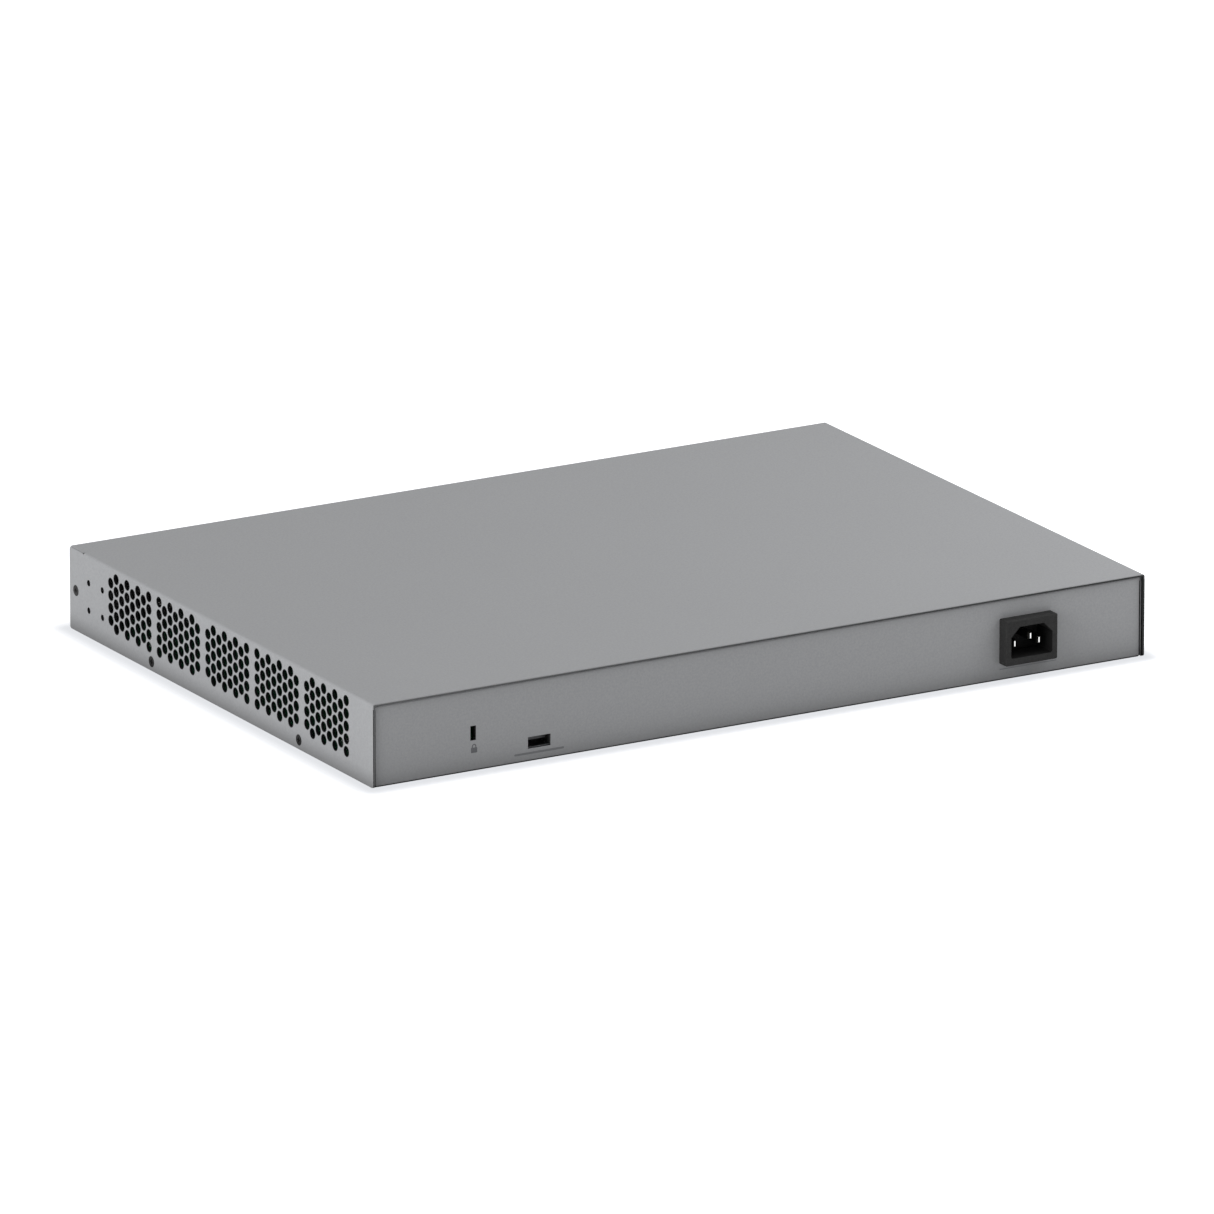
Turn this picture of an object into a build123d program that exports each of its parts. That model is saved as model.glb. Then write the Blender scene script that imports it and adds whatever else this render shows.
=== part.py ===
from build123d import *
import math
import os

# A 1U rackmount network switch: a folded steel case with vented sides, two stacked blocks of
# jacks, a cage for pluggable transceivers, a main board, a mains supply and three side fans.
# Millimetres. The origin is the centre of the underside; +X is the intake side, +Y the rear, +Z up.

# ---- Case ----
WIDTH = 440.0
DEPTH = 310.0
HEIGHT = 43.2
COVER_SHEET = 1.2
BASE_SHEET = 1.0
COVER_BEND = 1.5            # outside radius of the cover's two folds
BASE_BEND = 1.2             # outside radius of the folds in the base and the front panel
SHEET_GAP = 0.2             # between nested folded parts
COVER_LIFT = 0.4            # the cover's sides stop this far above the ground
COVER_CORNER = 1.4          # rounding of the sides' lower corners
REAR_RECESS = 1.5           # the rear wall stands this far inside the cover's rear edge
BASE_FLANGE = 9.0           # height of the base's side flanges
WALL_RETURN = 9.0           # flange folded forward along the top of the rear wall
TAB_SPAN = (13.0, 38.0)     # heights of the tabs folded forward at the rear wall's two ends
TAB_REACH = 11.0
RELIEF = 2.2                # corner relief where folds meet, hidden behind the rear wall
FOLD_SLIT = (0.16, 14.0, 0.6)   # at each front end of the cover's folds: width, length, end radius
FOOT_SPOT = (7.0, 0.3, 30.0)    # pressed circles that locate stick-on feet: radius, depth, inset

# ---- Vents: staggered rows of round holes, in groups along each side ----
VENT_RADIUS = 2.5
VENT_PITCH = 6.5
VENT_COLUMN = 5.65
VENT_COLUMNS = 8
VENT_GROUP_PITCH = 50.2
VENT_MIDDLE = (8.2, 25.2)   # centre of the middle group, along Y and Z
VENT_ROWS = 5
INTAKE_GROUPS = (-2, -1, 0, 1, 2)
FAN_GROUPS = (-1, 0, 1)

# ---- Screws and rack-ear holes ----
SCREW_RADIUS = 1.45         # M3 shank
SCREW_HOLE = 1.5
SCREW_HEAD = 2.8            # countersunk at 45 degrees
UNDER_HEAD = 2.4            # shallower heads, for the thinner floor
DRIVE_SLOT = (0.6, 2.8, 0.6)    # cross recess: width, length and depth
SCREW_LENGTH = 4.5
SCREW_CLEAR = 0.7           # round a screw's end where it passes another part
SIDE_SCREWS = ((-70.15, 5.15), (80.45, 5.15))
FRONT_SIDE_SCREW = (-148.7, 21.45)
RACK_SPACING = 14.3
RACK_CENTRE = (-128.05, 21.65)
RACK_HOLE = 1.65            # tapping size for M4
FRONT_FIXINGS = (-170.0, -60.0, 32.0, 205.0)
PAN_HEAD = (2.7, 1.7)       # radius and height

# ---- Front ----
BEZEL_SET_BACK = 0.4        # behind the cover's front edge
BEZEL_THICK = 2.5
BEZEL_EDGE = 0.8            # chamfer round the face
BEZEL_CORNER = 1.0
PORT_FIT = 0.25             # gap round each connector in the bezel and the front panel
FRONT_FLANGE = 34.0         # side flanges of the front panel, which carry the rack-ear threads
FRONT_RETURN = 10.0         # its top and bottom flanges
HOOKS = (-195.0, -100.0, 0.0, 100.0, 205.0)
HOOK = (6.0, 1.4, 4.2)      # width, thickness and length of each bezel hook
HOOK_BARB = 0.6
HOOK_INSET = 3.2            # from the panel's top and bottom

# ---- Boards ----
BOARD_THICK = 1.6
BOARD_CORNER = 2.0
BOARD_SCREW = 4.6           # length under the head
STANDOFF = 4.2
STANDOFF_RADIUS = 2.8
STANDOFF_FLOOR = 0.4        # metal left under each blind hole
MAIN_BOARD_X = (-190.0, 212.0)
MAIN_BOARD_Y = (-148.0, 148.0)
BOARD_NOTCH = (-54.0, 22.0)     # inner corner, behind which the supply stands
SUPPLY_X = (-186.0, -66.0)
SUPPLY_Y = (28.0, 112.0)
SUPPLY_INSET = 5.0
FIXING_HOLE = 1.7
MAIN_FIXINGS = ((-182, -112), (-168, 6), (-68, -60), (-46, 140), (70, 30), (204, -98), (204, 100))
INSULATOR = 0.4

# ---- Jacks: blocks of two rows of six ----
JACK_PITCH = 13.97
JACKS_ACROSS = 6
JACK_BLOCKS = {"left": -13.0, "right": 82.0}
BLOCK_HEIGHT = 26.6
BLOCK_DEPTH = 33.0
BLOCK_MARGIN = 1.0
BLOCK_SET_BACK = 0.5        # behind the bezel's face
SHIELD = 0.3
JACK_BODY = (11.8, 6.8)
JACK_KEY = (6.2, 1.6)
JACK_CATCH = (3.6, 1.4)
JACK_DEEP = 14.5
JACK_WEB = 2.6              # between the two rows
CONTACTS = 8
CONTACT_PITCH = 1.02
CONTACT = (0.45, 0.35)      # width and thickness
CONTACT_REACH = (0.5, 1.7)  # below the jack's contact side, at the mouth and at the back
CONTACT_LENGTH = 9.5
LENS = (2.4, 1.8, 1.6)      # width, height and depth of a jack's light window
LENS_OFFSET = 4.8
LENS_FIT = 0.02

# ---- Transceiver cage ----
CAGE_MIDDLE = 165.0
CAGE_BAYS = 4
CAGE_PITCH = 14.25
CAGE_WALL = 0.4
CAGE_HEIGHT = 9.9
CAGE_DEPTH = 48.0
CAGE_VENT = (1.0, 3.4, 4)   # holes in the cage's roof: radius, pitch and rows
CAGE_VENT_START = 8.0       # from the back to the first row
CAGE_SOCKET = (11.0, 6.0, 9.0)
CAGE_SOCKET_SLOT = (9.2, 1.2, 6.0, 3.7)     # width, height, depth and height above the board

# ---- Front controls ----
PIPE_COUNT = 5
PIPE_PITCH = 5.5
PIPE_START = -186.0
PIPE_RADIUS = 1.2
PIPE_RAIL = (1.4, 2.4)      # the rail that joins the pipes: its side, and its drop below them
PIPE_BACK = 8.0             # from the bezel's face to the pipes' upright legs
LAMP = (2.0, 1.4, 0.9)
LAMP_GAP = 0.1
CONTROL_Z = 12.5
MODE_X = -148.0
MODE_RADIUS = 2.4
MODE_PROUD = 0.3            # past the bezel's face, inside the cover's front edge
MODE_TRAVEL = 0.8
RESET_X = -136.0
RESET_HOLE = 0.9
RESET_PLUNGER = 1.5
RESET_WELL = 1.2            # depth of the pocket behind the pinhole
RESET_TRAVEL = 0.4
BUTTON_FIT = 0.1            # gap round a button in its hole
BUTTON_COLLAR = 1.0         # how much wider a button is behind the panel
COLLAR_GAP = 0.3            # between the panel and the collar of a button at rest
BUTTON_CHAMFER = 0.3
BUTTON_NOSE = 1.2           # radius of the end that enters the switch
NOSE_GAP = 0.3              # between that end and the switch
SWITCH_BODY = (7.0, 6.0, 7.6)
SWITCH_CLEAR = 1.0          # from a pressed button's collar to its switch

# ---- Rear ----
LOCK_PLACE = (163.2, 19.55)
LOCK_WINDOW = (3.1, 7.4)    # opening in the rear wall, in front of the plate's slot
LOCK_SLOT = (3.0, 7.0)
LOCK_SLOT_CORNER = 0.4
LOCK_PLATE = (20.0, 1.5, 18.0)
LOCK_PLATE_CORNER = 2.0
USB_X = 126.1
USB_SHELL = (13.1, 14.0, 5.7)
USB_CORNER = 0.6
USB_WALL = 0.3
USB_WINDOW = (12.7, 5.9)    # opening in the rear wall, which frames the shell's mouth
USB_INSERT = (11.1, 11.0, 1.8)  # the tongue, with the part of it inside its root
USB_ROOT = 2.5
USB_SET_BACK = 0.2          # from the rear wall's inside to the shell's mouth
INLET_PLACE = (-151.6, 20.45)
INLET_COLLAR = (30.0, 23.4)
INLET_PROUD = 6.4           # how far the collar stands out from the rear wall
INLET_CORNER = 0.8
INLET_BEVEL = 0.5
INLET_BODY = (26.8, 19.8)
INLET_BODY_CORNER = 1.5
INLET_FIT = 0.2
INLET_DEEP = 12.5           # from the rear wall's face to the body's back
INLET_SOCKET = (23.9, 16.0)
INLET_SOCKET_CORNER = 1.2   # rounding of the two lower corners
INLET_CHAMFER = 5.0         # cut across the two upper ones
INLET_SOCKET_DEEP = 15.0
CLIP = (1.0, 6.0, 5.0)      # snap barbs on the inlet's sides: height, width, length
PIN = (2.0, 4.0)
PIN_SPACING = 7.0
PIN_RISE = 2.0              # the earth pin above the middle, the other two below it
PIN_SET_BACK = 4.8          # from the collar's face to the tips of the lower two
PIN_TAPER = (0.65, 1.3)      # how much each pin's end narrows on every side, and over what length
EARTH_AHEAD = 3.4           # how much further out the earth pin reaches
SPADE = (0.8, 4.8, 8.0)
BOOT = (3.4, 7.0, 14.0)
BOOT_CORNER = 1.2
BOOT_FIT = 0.1
BOOT_GAP = 0.6              # from the inlet's back to each boot

# ---- Supply parts ----
TRANSFORMER = (-120.0, 64.0)
TRANSFORMER_CORE = (34.0, 13.0, 26.0)
TRANSFORMER_WINDOW = 7.5
TRANSFORMER_LIFT = 2.0      # of the core above the board
COIL_GAP = 0.6              # between the winding and the core's yokes
COIL_BULGE = 6.0            # of the winding past each face of the core
BULK_CAPS = ((-172.0, 50.0), (-172.0, 72.0))
BULK_CAP = (9.0, 28.0)      # radius and height
OUT_CAPS = ((-79.0, 44.0), (-79.0, 57.0), (-79.0, 70.0))
OUT_CAP = (5.0, 18.0)
SINK_BARS = (-150.0, -92.0)
SINK_BAR = (2.5, 44.0, 26.0)
SINK_BAR_Y = 62.0
TRANSISTOR = (4.6, 10.0, 15.0)      # thickness, width and height of the moulded body
TRANSISTOR_LEGS = (0.6, 7.0, 4.0)
TRANSISTOR_OFFSET = 12.0
CHOKE = (-118.0, 100.0)
CHOKE_RING = (9.5, 5.0, 9.0)        # outer and inner radius, and thickness
CHOKE_HOLDER = 3.4
FUSE = (-178.0, 94.0)
FUSE_TUBE = (2.6, 14.0)
FUSE_CAP = 4.0
FUSE_CLIP = (4.0, 3.0, 1.2)
LEAD_RADIUS = 1.1
AC_SOCKET = (20.0, 8.0, 9.0)
AC_SOCKET_Y = 104.0
DC_PLUG = (7.0, 19.0, 8.5)
DC_Y = 88.0
DC_PLUG_X = (-73.0, -45.0)  # on the supply and on the main board
DC_LEADS = 6
DC_LEAD_PITCH = 2.8
DC_ARCH = 10.0
EARTH_STUD = (-198.0, 117.0)
EARTH_STUD_SIZE = (2.0, 9.0)    # radius and height
EARTH_NUT = (4.0, 3.2)      # radius over its corners, and height
EARTH_LUG = (4.2, 0.8)      # radius and thickness
EARTH_TONGUE = (10.0, 4.0)  # reach of the lug's tongue from the stud, and its width
EARTH_TURN = 4.0            # radius of the lead's turns
THIN_LEAD = 0.9             # radius of the low-voltage leads

# ---- Main board parts ----
SWITCH_CHIP = (30.0, -52.0)
SWITCH_CHIP_SIZE = (31.0, 31.0, 2.6)
SWITCH_SINK = (52.0, 52.0, 16.0)
SWITCH_FINS = 14
PHY_PLACES = ((-40.0, -98.0), (10.0, -98.0), (60.0, -98.0), (108.0, -98.0))
PHY_SIZE = (14.0, 14.0, 1.4)
PHY_SINK = (20.0, 20.0, 8.0)
PHY_FINS = 6
MEMORY_PLACES = ((96.0, -62.0), (96.0, -44.0), (130.0, -62.0), (130.0, -44.0))
MEMORY_SIZE = (10.0, 13.0, 1.1)
CPU_PLACE = (120.0, -10.0)
CPU_SIZE = (19.0, 19.0, 1.8)
BOARD_CAN = (4.0, 8.0)
CAN_ROW = (-20.0, 60.0, 11.0, 8)    # first X, Y, pitch and count
COIL_ROW = (-18.0, 78.0, 15.0, 6)
COIL_SIZE = (10.0, 10.0, 4.2)
COIL_CHAMFER = 1.5
FIN_BASE = (2.5, 1.5)       # base thickness of the large and the small heatsinks
FIN_THICK = 1.0
CAN_GROOVE = (0.14, 0.35, 0.7)      # place up the can, how far out its circle lies, and its radius

# ---- Fans ----
FAN_SIZE = 40.0
FAN_DEEP = 20.0
FAN_BORE = 19.0
FAN_WAIST = 20.0
FAN_FLANGE = 3.5
FAN_SPACING = 32.0
FAN_HOLE = 1.75
FAN_CORNER = 3.0
BRACKET_TAB = (8.0, 12.0)   # width and length of each tab on the floor
BRACKET_CORNER = 3.0
HUB_RADIUS = 10.0
HUB_WALL = 0.9
HUB_RIM = 1.6               # thickness of the cup's side, with its magnet
HUB_DEEP = 13.5
HUB_TOP = 18.5
MOTOR_BASE = (10.5, 3.0)
STRUTS = 4
STRUT_WIDTH = 2.0
BLADES = 7
BLADE_TIP = 18.4
BLADE_THICK = 0.9
BLADE_ROOT_PITCH = 48.0
BLADE_TIP_PITCH = 30.0
BLADE_CHORD = (9.0, 13.5)
SHAFT_RADIUS = 1.5
BEARING_FIT = 0.05
BEARING_WALL = 1.4
CORE_POLES = 4
CORE_RADIUS = 7.6
CORE_YOKE = 1.6             # thickness of the ring round the bearing tube
POLE = (1.8, 8.0, 1.2)      # width of each arm, and the width and thickness of its shoe
CORE_SPAN = (5.5, 12.5)
FAN_LEAD_OFFSET = (-17.8, -11.0)    # where each lead leaves the frame, from the fan's axis
FAN_PLUG = (7.0, 6.0, 6.4)
FAN_PLUG_X = -184.5

# ---- Derived ----
COVER_IN_X = WIDTH / 2 - COVER_SHEET
COVER_IN_Z = HEIGHT - COVER_SHEET
BASE_X = COVER_IN_X - SHEET_GAP
WALL_TOP = COVER_IN_Z - SHEET_GAP
REAR_Y = DEPTH / 2 - REAR_RECESS
INLET_FACE = REAR_Y + INLET_PROUD
INLET_BACK = REAR_Y - INLET_DEEP
WALL_IN_Y = REAR_Y - BASE_SHEET
USB_FRONT = WALL_IN_Y - USB_SET_BACK
BEZEL_Y = -DEPTH / 2 + BEZEL_SET_BACK
PANEL_Y = BEZEL_Y + BEZEL_THICK + SHEET_GAP
PANEL_IN_Y = PANEL_Y + BASE_SHEET
BOARD_Z = BASE_SHEET + STANDOFF
BOARD_TOP = BOARD_Z + BOARD_THICK
USB_Z = BOARD_TOP + USB_SHELL[2] / 2
BLOCK_WIDTH = JACKS_ACROSS * JACK_PITCH + 2 * BLOCK_MARGIN
BLOCK_Y = BEZEL_Y + BLOCK_SET_BACK
CAGE_WIDTH = CAGE_BAYS * CAGE_PITCH + CAGE_WALL
FAN_Z = (BASE_SHEET + COVER_IN_Z) / 2
BRACKET_X = -(BASE_X - BASE_BEND)
FAN_X = BRACKET_X + BASE_SHEET
FAN_YS = [VENT_MIDDLE[0] + g * VENT_GROUP_PITCH for g in FAN_GROUPS]
CENTRED = Align.CENTER
SUPPLY_FIXINGS = [
    (SUPPLY_X[i] + (SUPPLY_INSET, -SUPPLY_INSET)[i], SUPPLY_Y[j] + (SUPPLY_INSET, -SUPPLY_INSET)[j])
    for i in (0, 1) for j in (0, 1)
]


# ---- Small helpers ----
def block(x, y, z):
    """A box given by its span along each axis."""
    centre = Pos((x[0] + x[1]) / 2, (y[0] + y[1]) / 2, (z[0] + z[1]) / 2)
    return centre * Box(x[1] - x[0], y[1] - y[0], z[1] - z[0])


def about(middle, size):
    return (middle - size / 2, middle + size / 2)


def standing(x, y, size, z=None):
    """A box of the given size that stands on the boards, or at height z."""
    foot = BOARD_TOP if z is None else z
    return block(about(x, size[0]), about(y, size[1]), (foot, foot + size[2]))


def rod_x(span, y, z, radius):
    turned = Pos(span[0], y, z) * Rot(0, 90, 0)
    return turned * Cylinder(radius, span[1] - span[0], align=(CENTRED, CENTRED, Align.MIN))


def rod_y(x, span, z, radius):
    turned = Pos(x, span[0], z) * Rot(-90, 0, 0)
    return turned * Cylinder(radius, span[1] - span[0], align=(CENTRED, CENTRED, Align.MIN))


def rod_z(x, y, span, radius):
    return Pos(x, y, span[0]) * Cylinder(radius, span[1] - span[0], align=(CENTRED, CENTRED, Align.MIN))


def along_y(sketch, span):
    """Extrude a sketch drawn on X and Z from span[0] to span[1] along Y."""
    return Pos(0, span[0], 0) * extrude(Plane.XZ * sketch, -(span[1] - span[0]))


def along_x(sketch, span):
    """Extrude a sketch drawn on Y and Z from span[0] to span[1] along X."""
    return Pos(span[0], 0, 0) * extrude(Plane.YZ * sketch, span[1] - span[0])


def rounded_box(x, y, z, radius, wanted):
    """A box with the edges rounded whose centres pass the test."""
    box = block(x, y, z)
    return fillet([edge for edge in box.edges() if wanted(edge.center())], radius)


def folded_tray(x, y, z, sheet, bend, wanted):
    """A closed folded shell, from which the open sides are then cut away."""
    outer = rounded_box(x, y, z, bend, wanted)
    inside = [(span[0] + sheet, span[1] - sheet) for span in (x, y, z)]
    near = lambda c: wanted(Vector(spread(c.X, x, sheet), spread(c.Y, y, sheet), spread(c.Z, z, sheet)))
    return outer - rounded_box(*inside, bend - sheet, near)


def spread(value, span, sheet):
    """Move a place on the inner shell's faces out to the outer shell's."""
    middle = (span[0] + span[1]) / 2
    if abs(value - middle) < 1e-6:
        return value
    return value + math.copysign(sheet, value - middle)


def lead(points, radii, radius=LEAD_RADIUS):
    """A round lead along straight runs joined by tangent arcs."""
    path = FilletPolyline(*points, radius=radii) if len(points) > 2 else Line(*points)
    return sweep(Plane(path @ 0, z_dir=path % 0) * Circle(radius), path=path)


def save(name, *shapes):
    solids = [solid for shape in shapes for solid in shape.solids()]
    export_step(solids[0] if len(solids) == 1 else Compound(solids), f"parts/{name}.step")


# ---- Fasteners, drawn pointing down -Z from a head at the origin ----
def cross_recess():
    width, length, deep = DRIVE_SLOT
    return Box(length, width, 2 * deep) + Box(width, length, 2 * deep)


def flat_screw(head):
    depth = head - SCREW_RADIUS
    cone = Pos(0, 0, -depth / 2) * Cone(SCREW_RADIUS, head, depth)
    shank = rod_z(0, 0, (-SCREW_LENGTH, 0), SCREW_RADIUS)
    return cone + shank - cross_recess()


def flat_seat(sheet, head):
    """The countersunk hole that a flat-headed screw sits in."""
    clear = SCREW_HOLE - SCREW_RADIUS
    depth = head - SCREW_RADIUS
    cone = Pos(0, 0, -depth / 2) * Cone(SCREW_HOLE, head + clear, depth)
    return cone + rod_z(0, 0, (-sheet - 1, 0), SCREW_HOLE)


def pan_screw(length):
    radius, height = PAN_HEAD
    head = fillet(rod_z(0, 0, (0, height), radius).edges().group_by(Axis.Z)[-1], height / 2)
    shank = rod_z(0, 0, (-length, height / 2), SCREW_RADIUS)
    return head + shank - Pos(0, 0, height) * cross_recess()


# Turns from the screws' own direction to each place where they sit
FROM_RIGHT = Rot(0, 90, 0)
FROM_LEFT = Rot(0, -90, 0)
FROM_BELOW = Rot(180, 0, 0)


# ---- Vents ----
def vent_columns(group):
    """Column places and hole counts of one group; neighbouring groups are staggered the other way."""
    for column in range(VENT_COLUMNS):
        y = VENT_MIDDLE[0] + group * VENT_GROUP_PITCH + (column - (VENT_COLUMNS - 1) / 2) * VENT_COLUMN
        yield y, VENT_ROWS - (column + group + 1) % 2


def vents(side, groups):
    """Drills for the round holes of several groups through one side of the cover."""
    span = (side * WIDTH / 2 - 3, side * WIDTH / 2 + 3)
    drills = []
    for group in groups:
        for y, count in vent_columns(group):
            for row in range(count):
                z = VENT_MIDDLE[1] + (row - (count - 1) / 2) * VENT_PITCH
                drills.append(rod_x(span, y, z, VENT_RADIUS))
    return drills


def rack_holes(side):
    span = (side * WIDTH / 2 - 6, side * WIDTH / 2 + 6)
    half = RACK_SPACING / 2
    return [
        rod_x(span, RACK_CENTRE[0] + dy, RACK_CENTRE[1] + dz, RACK_HOLE)
        for dy in (-half, half) for dz in (-half, half)
    ]


# ---- Case ----
def make_cover():
    """The inverted U of the cover, with its vents, screw seats, rack-ear holes and fold slits."""
    outer = RectangleRounded(WIDTH, 2 * HEIGHT, COVER_BEND)
    inner = RectangleRounded(WIDTH - 2 * COVER_SHEET, 2 * COVER_IN_Z, COVER_BEND - COVER_SHEET)
    half = Pos(0, HEIGHT / 2 + COVER_LIFT / 2) * Rectangle(WIDTH, HEIGHT - COVER_LIFT)
    cover = along_y((outer - inner) & half, (-DEPTH / 2, DEPTH / 2))
    low = [e for e in cover.edges().filter_by(Axis.X) if e.center().Z < COVER_LIFT + 0.01]
    cover = fillet(low, COVER_CORNER)
    cuts = vents(1, INTAKE_GROUPS) + vents(-1, FAN_GROUPS)
    width, length, end = FOLD_SLIT
    slit_y = -DEPTH / 2 + length
    for side, turn in ((1, FROM_RIGHT), (-1, FROM_LEFT)):
        cuts += rack_holes(side)
        for y, z in SIDE_SCREWS + (FRONT_SIDE_SCREW,):
            cuts.append(Pos(side * WIDTH / 2, y, z) * turn * flat_seat(COVER_SHEET, SCREW_HEAD))
        corner = Pos(side * WIDTH / 2, 0, HEIGHT) * Rot(0, side * 45, 0)
        depth = 2 * COVER_BEND
        slit = Pos(0, slit_y - length / 2 - 1, 0) * Box(width, length + 2, 2 * depth)
        hole = Pos(0, slit_y, 0) * Cylinder(end, 2 * depth)
        cuts.append(corner * (slit + hole))
    return cover - cuts


def board_fixings():
    return list(MAIN_FIXINGS) + SUPPLY_FIXINGS


def rear_cuts():
    """Openings in the rear wall: inlet, data port and lock slot."""
    through = (WALL_IN_Y - 1, REAR_Y + 1)
    body = [size + 2 * INLET_FIT for size in INLET_BODY]
    windows = ((INLET_PLACE, body), ((USB_X, USB_Z), USB_WINDOW), (LOCK_PLACE, LOCK_WINDOW))
    return [
        block(about(place[0], size[0]), through, about(place[1], size[1])) for place, size in windows
    ]


def make_base():
    """Floor with low side flanges and a full-height rear wall, folded from one sheet."""
    x = (-BASE_X, BASE_X)
    y = (PANEL_Y, REAR_Y)
    z = (0.0, WALL_TOP)
    bends = lambda c: c.Z < 0.01 and c.Y > y[0] + 0.01 or c.Y > REAR_Y - 0.01
    pan = folded_tray(x, y, z, BASE_SHEET, BASE_BEND, bends)
    flange_y = PANEL_Y + FRONT_FLANGE + SHEET_GAP
    big = WIDTH
    out = [
        block(x, (y[0] - 1, y[0] + BASE_SHEET), (BASE_SHEET, HEIGHT)),
        block((-big, big), (y[0] - 1, REAR_Y - WALL_RETURN), (WALL_TOP - BASE_BEND, HEIGHT)),
        block((-big, big), (y[0] - 1, REAR_Y - TAB_REACH), (BASE_FLANGE, WALL_TOP)),
        block((-big, big), (y[0] - 1, REAR_Y - BASE_BEND), (BASE_FLANGE, TAB_SPAN[0])),
        block((-big, big), (y[0] - 1, REAR_Y - BASE_BEND), (TAB_SPAN[1], WALL_TOP - BASE_BEND)),
    ]
    for side in (1, -1):
        edge = sorted((side * (BASE_X - BASE_BEND), side * big))
        corner = sorted((side * (BASE_X - RELIEF), side * big))
        out.append(block(edge, (y[0] - 1, flange_y), (-1, HEIGHT)))
        out.append(block(corner, (REAR_Y - RELIEF, WALL_IN_Y), (-1, TAB_SPAN[0])))
        out.append(block(corner, (REAR_Y - TAB_REACH - 1, WALL_IN_Y), (WALL_TOP - RELIEF, HEIGHT)))
        for place_y, place_z in SIDE_SCREWS:
            out.append(rod_x(about(side * BASE_X, 6), place_y, place_z, SCREW_HOLE))
    pan = pan - out - rear_cuts()
    pan -= [Pos(px, py, 0) * FROM_BELOW * flat_seat(BASE_SHEET, UNDER_HEAD) for px, py in under_fixings()]
    spot, deep, inset = FOOT_SPOT
    spots = [
        rod_z(sx * (WIDTH / 2 - inset), sy * (DEPTH / 2 - inset), (-1, deep), spot)
        for sx in (-1, 1) for sy in (-1, 1)
    ]
    return pan - spots


def under_fixings():
    """Places of the flat screws under the case, which hold the front panel and the fan bracket."""
    front_y = PANEL_Y + (BASE_SHEET + FRONT_RETURN) / 2
    bracket_x = BRACKET_X + (2 * BASE_SHEET + BRACKET_TAB[1]) / 2
    return [(x, front_y) for x in FRONT_FIXINGS] + [(bracket_x, y) for y in bracket_tabs()]


def bracket_tabs():
    ends = [FAN_YS[0] - VENT_GROUP_PITCH / 2]
    return ends + [y + VENT_GROUP_PITCH / 2 for y in FAN_YS]


def port_cuts(span, grow):
    """Clearance for the connectors through the front parts."""
    cuts = []
    for middle in JACK_BLOCKS.values():
        across = about(middle, BLOCK_WIDTH + 2 * grow)
        cuts.append(block(across, span, (BOARD_TOP - grow, BOARD_TOP + BLOCK_HEIGHT + grow)))
    across = about(CAGE_MIDDLE, CAGE_WIDTH + 2 * grow)
    cuts.append(block(across, span, (BOARD_TOP - grow, BOARD_TOP + CAGE_HEIGHT + grow)))
    return cuts


def pipe_places():
    return [PIPE_START + i * PIPE_PITCH for i in range(PIPE_COUNT)]


def make_front_panel():
    """Steel panel behind the bezel, flanged all round; its deep side flanges take the rack ears."""
    x = (-BASE_X, BASE_X)
    y = (PANEL_Y, PANEL_Y + FRONT_FLANGE)
    z = (BASE_SHEET, WALL_TOP)
    panel = folded_tray(x, (y[0], y[1] + BASE_BEND), z, BASE_SHEET, BASE_BEND, lambda c: c.Y < y[0] + 0.01)
    inside = (-BASE_X + RELIEF, BASE_X - RELIEF)
    cuts = [
        block((-WIDTH, WIDTH), (y[1], y[1] + WIDTH), (-1, HEIGHT)),
        block(inside, (y[0] + FRONT_RETURN, WIDTH), (-1, HEIGHT)),
    ]
    for side in (1, -1):
        corner = sorted((side * (BASE_X - RELIEF), side * WIDTH))
        cuts.append(block(corner, (y[0] - 1, WIDTH), (z[0] - 1, z[0] + RELIEF)))
        cuts.append(block(corner, (y[0] - 1, WIDTH), (z[1] - RELIEF, HEIGHT)))
        cuts += rack_holes(side)
        cuts.append(rod_x(about(side * BASE_X, 6), *FRONT_SIDE_SCREW, SCREW_HOLE))
    through = (y[0] - 1, PANEL_IN_Y + 1)
    cuts += port_cuts(through, PORT_FIT)
    cuts += [rod_y(px, through, CONTROL_Z, PIPE_RADIUS + PORT_FIT) for px in pipe_places()]
    cuts.append(rod_y(MODE_X, through, CONTROL_Z, MODE_RADIUS + PORT_FIT))
    cuts.append(rod_y(RESET_X, through, CONTROL_Z, RESET_PLUNGER + PORT_FIT))
    cuts += [rod_z(px, py, (0, 3), SCREW_HOLE) for px, py in under_fixings()[:len(FRONT_FIXINGS)]]
    for hook_x in HOOKS:
        for hook_z in (z[0] + HOOK_INSET, z[1] - HOOK_INSET):
            tall = HOOK[1] + 2 * HOOK_BARB + SHEET_GAP
            cuts.append(block(about(hook_x, HOOK[0] + 2 * SHEET_GAP), through, about(hook_z, tall)))
    return panel - cuts


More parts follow.
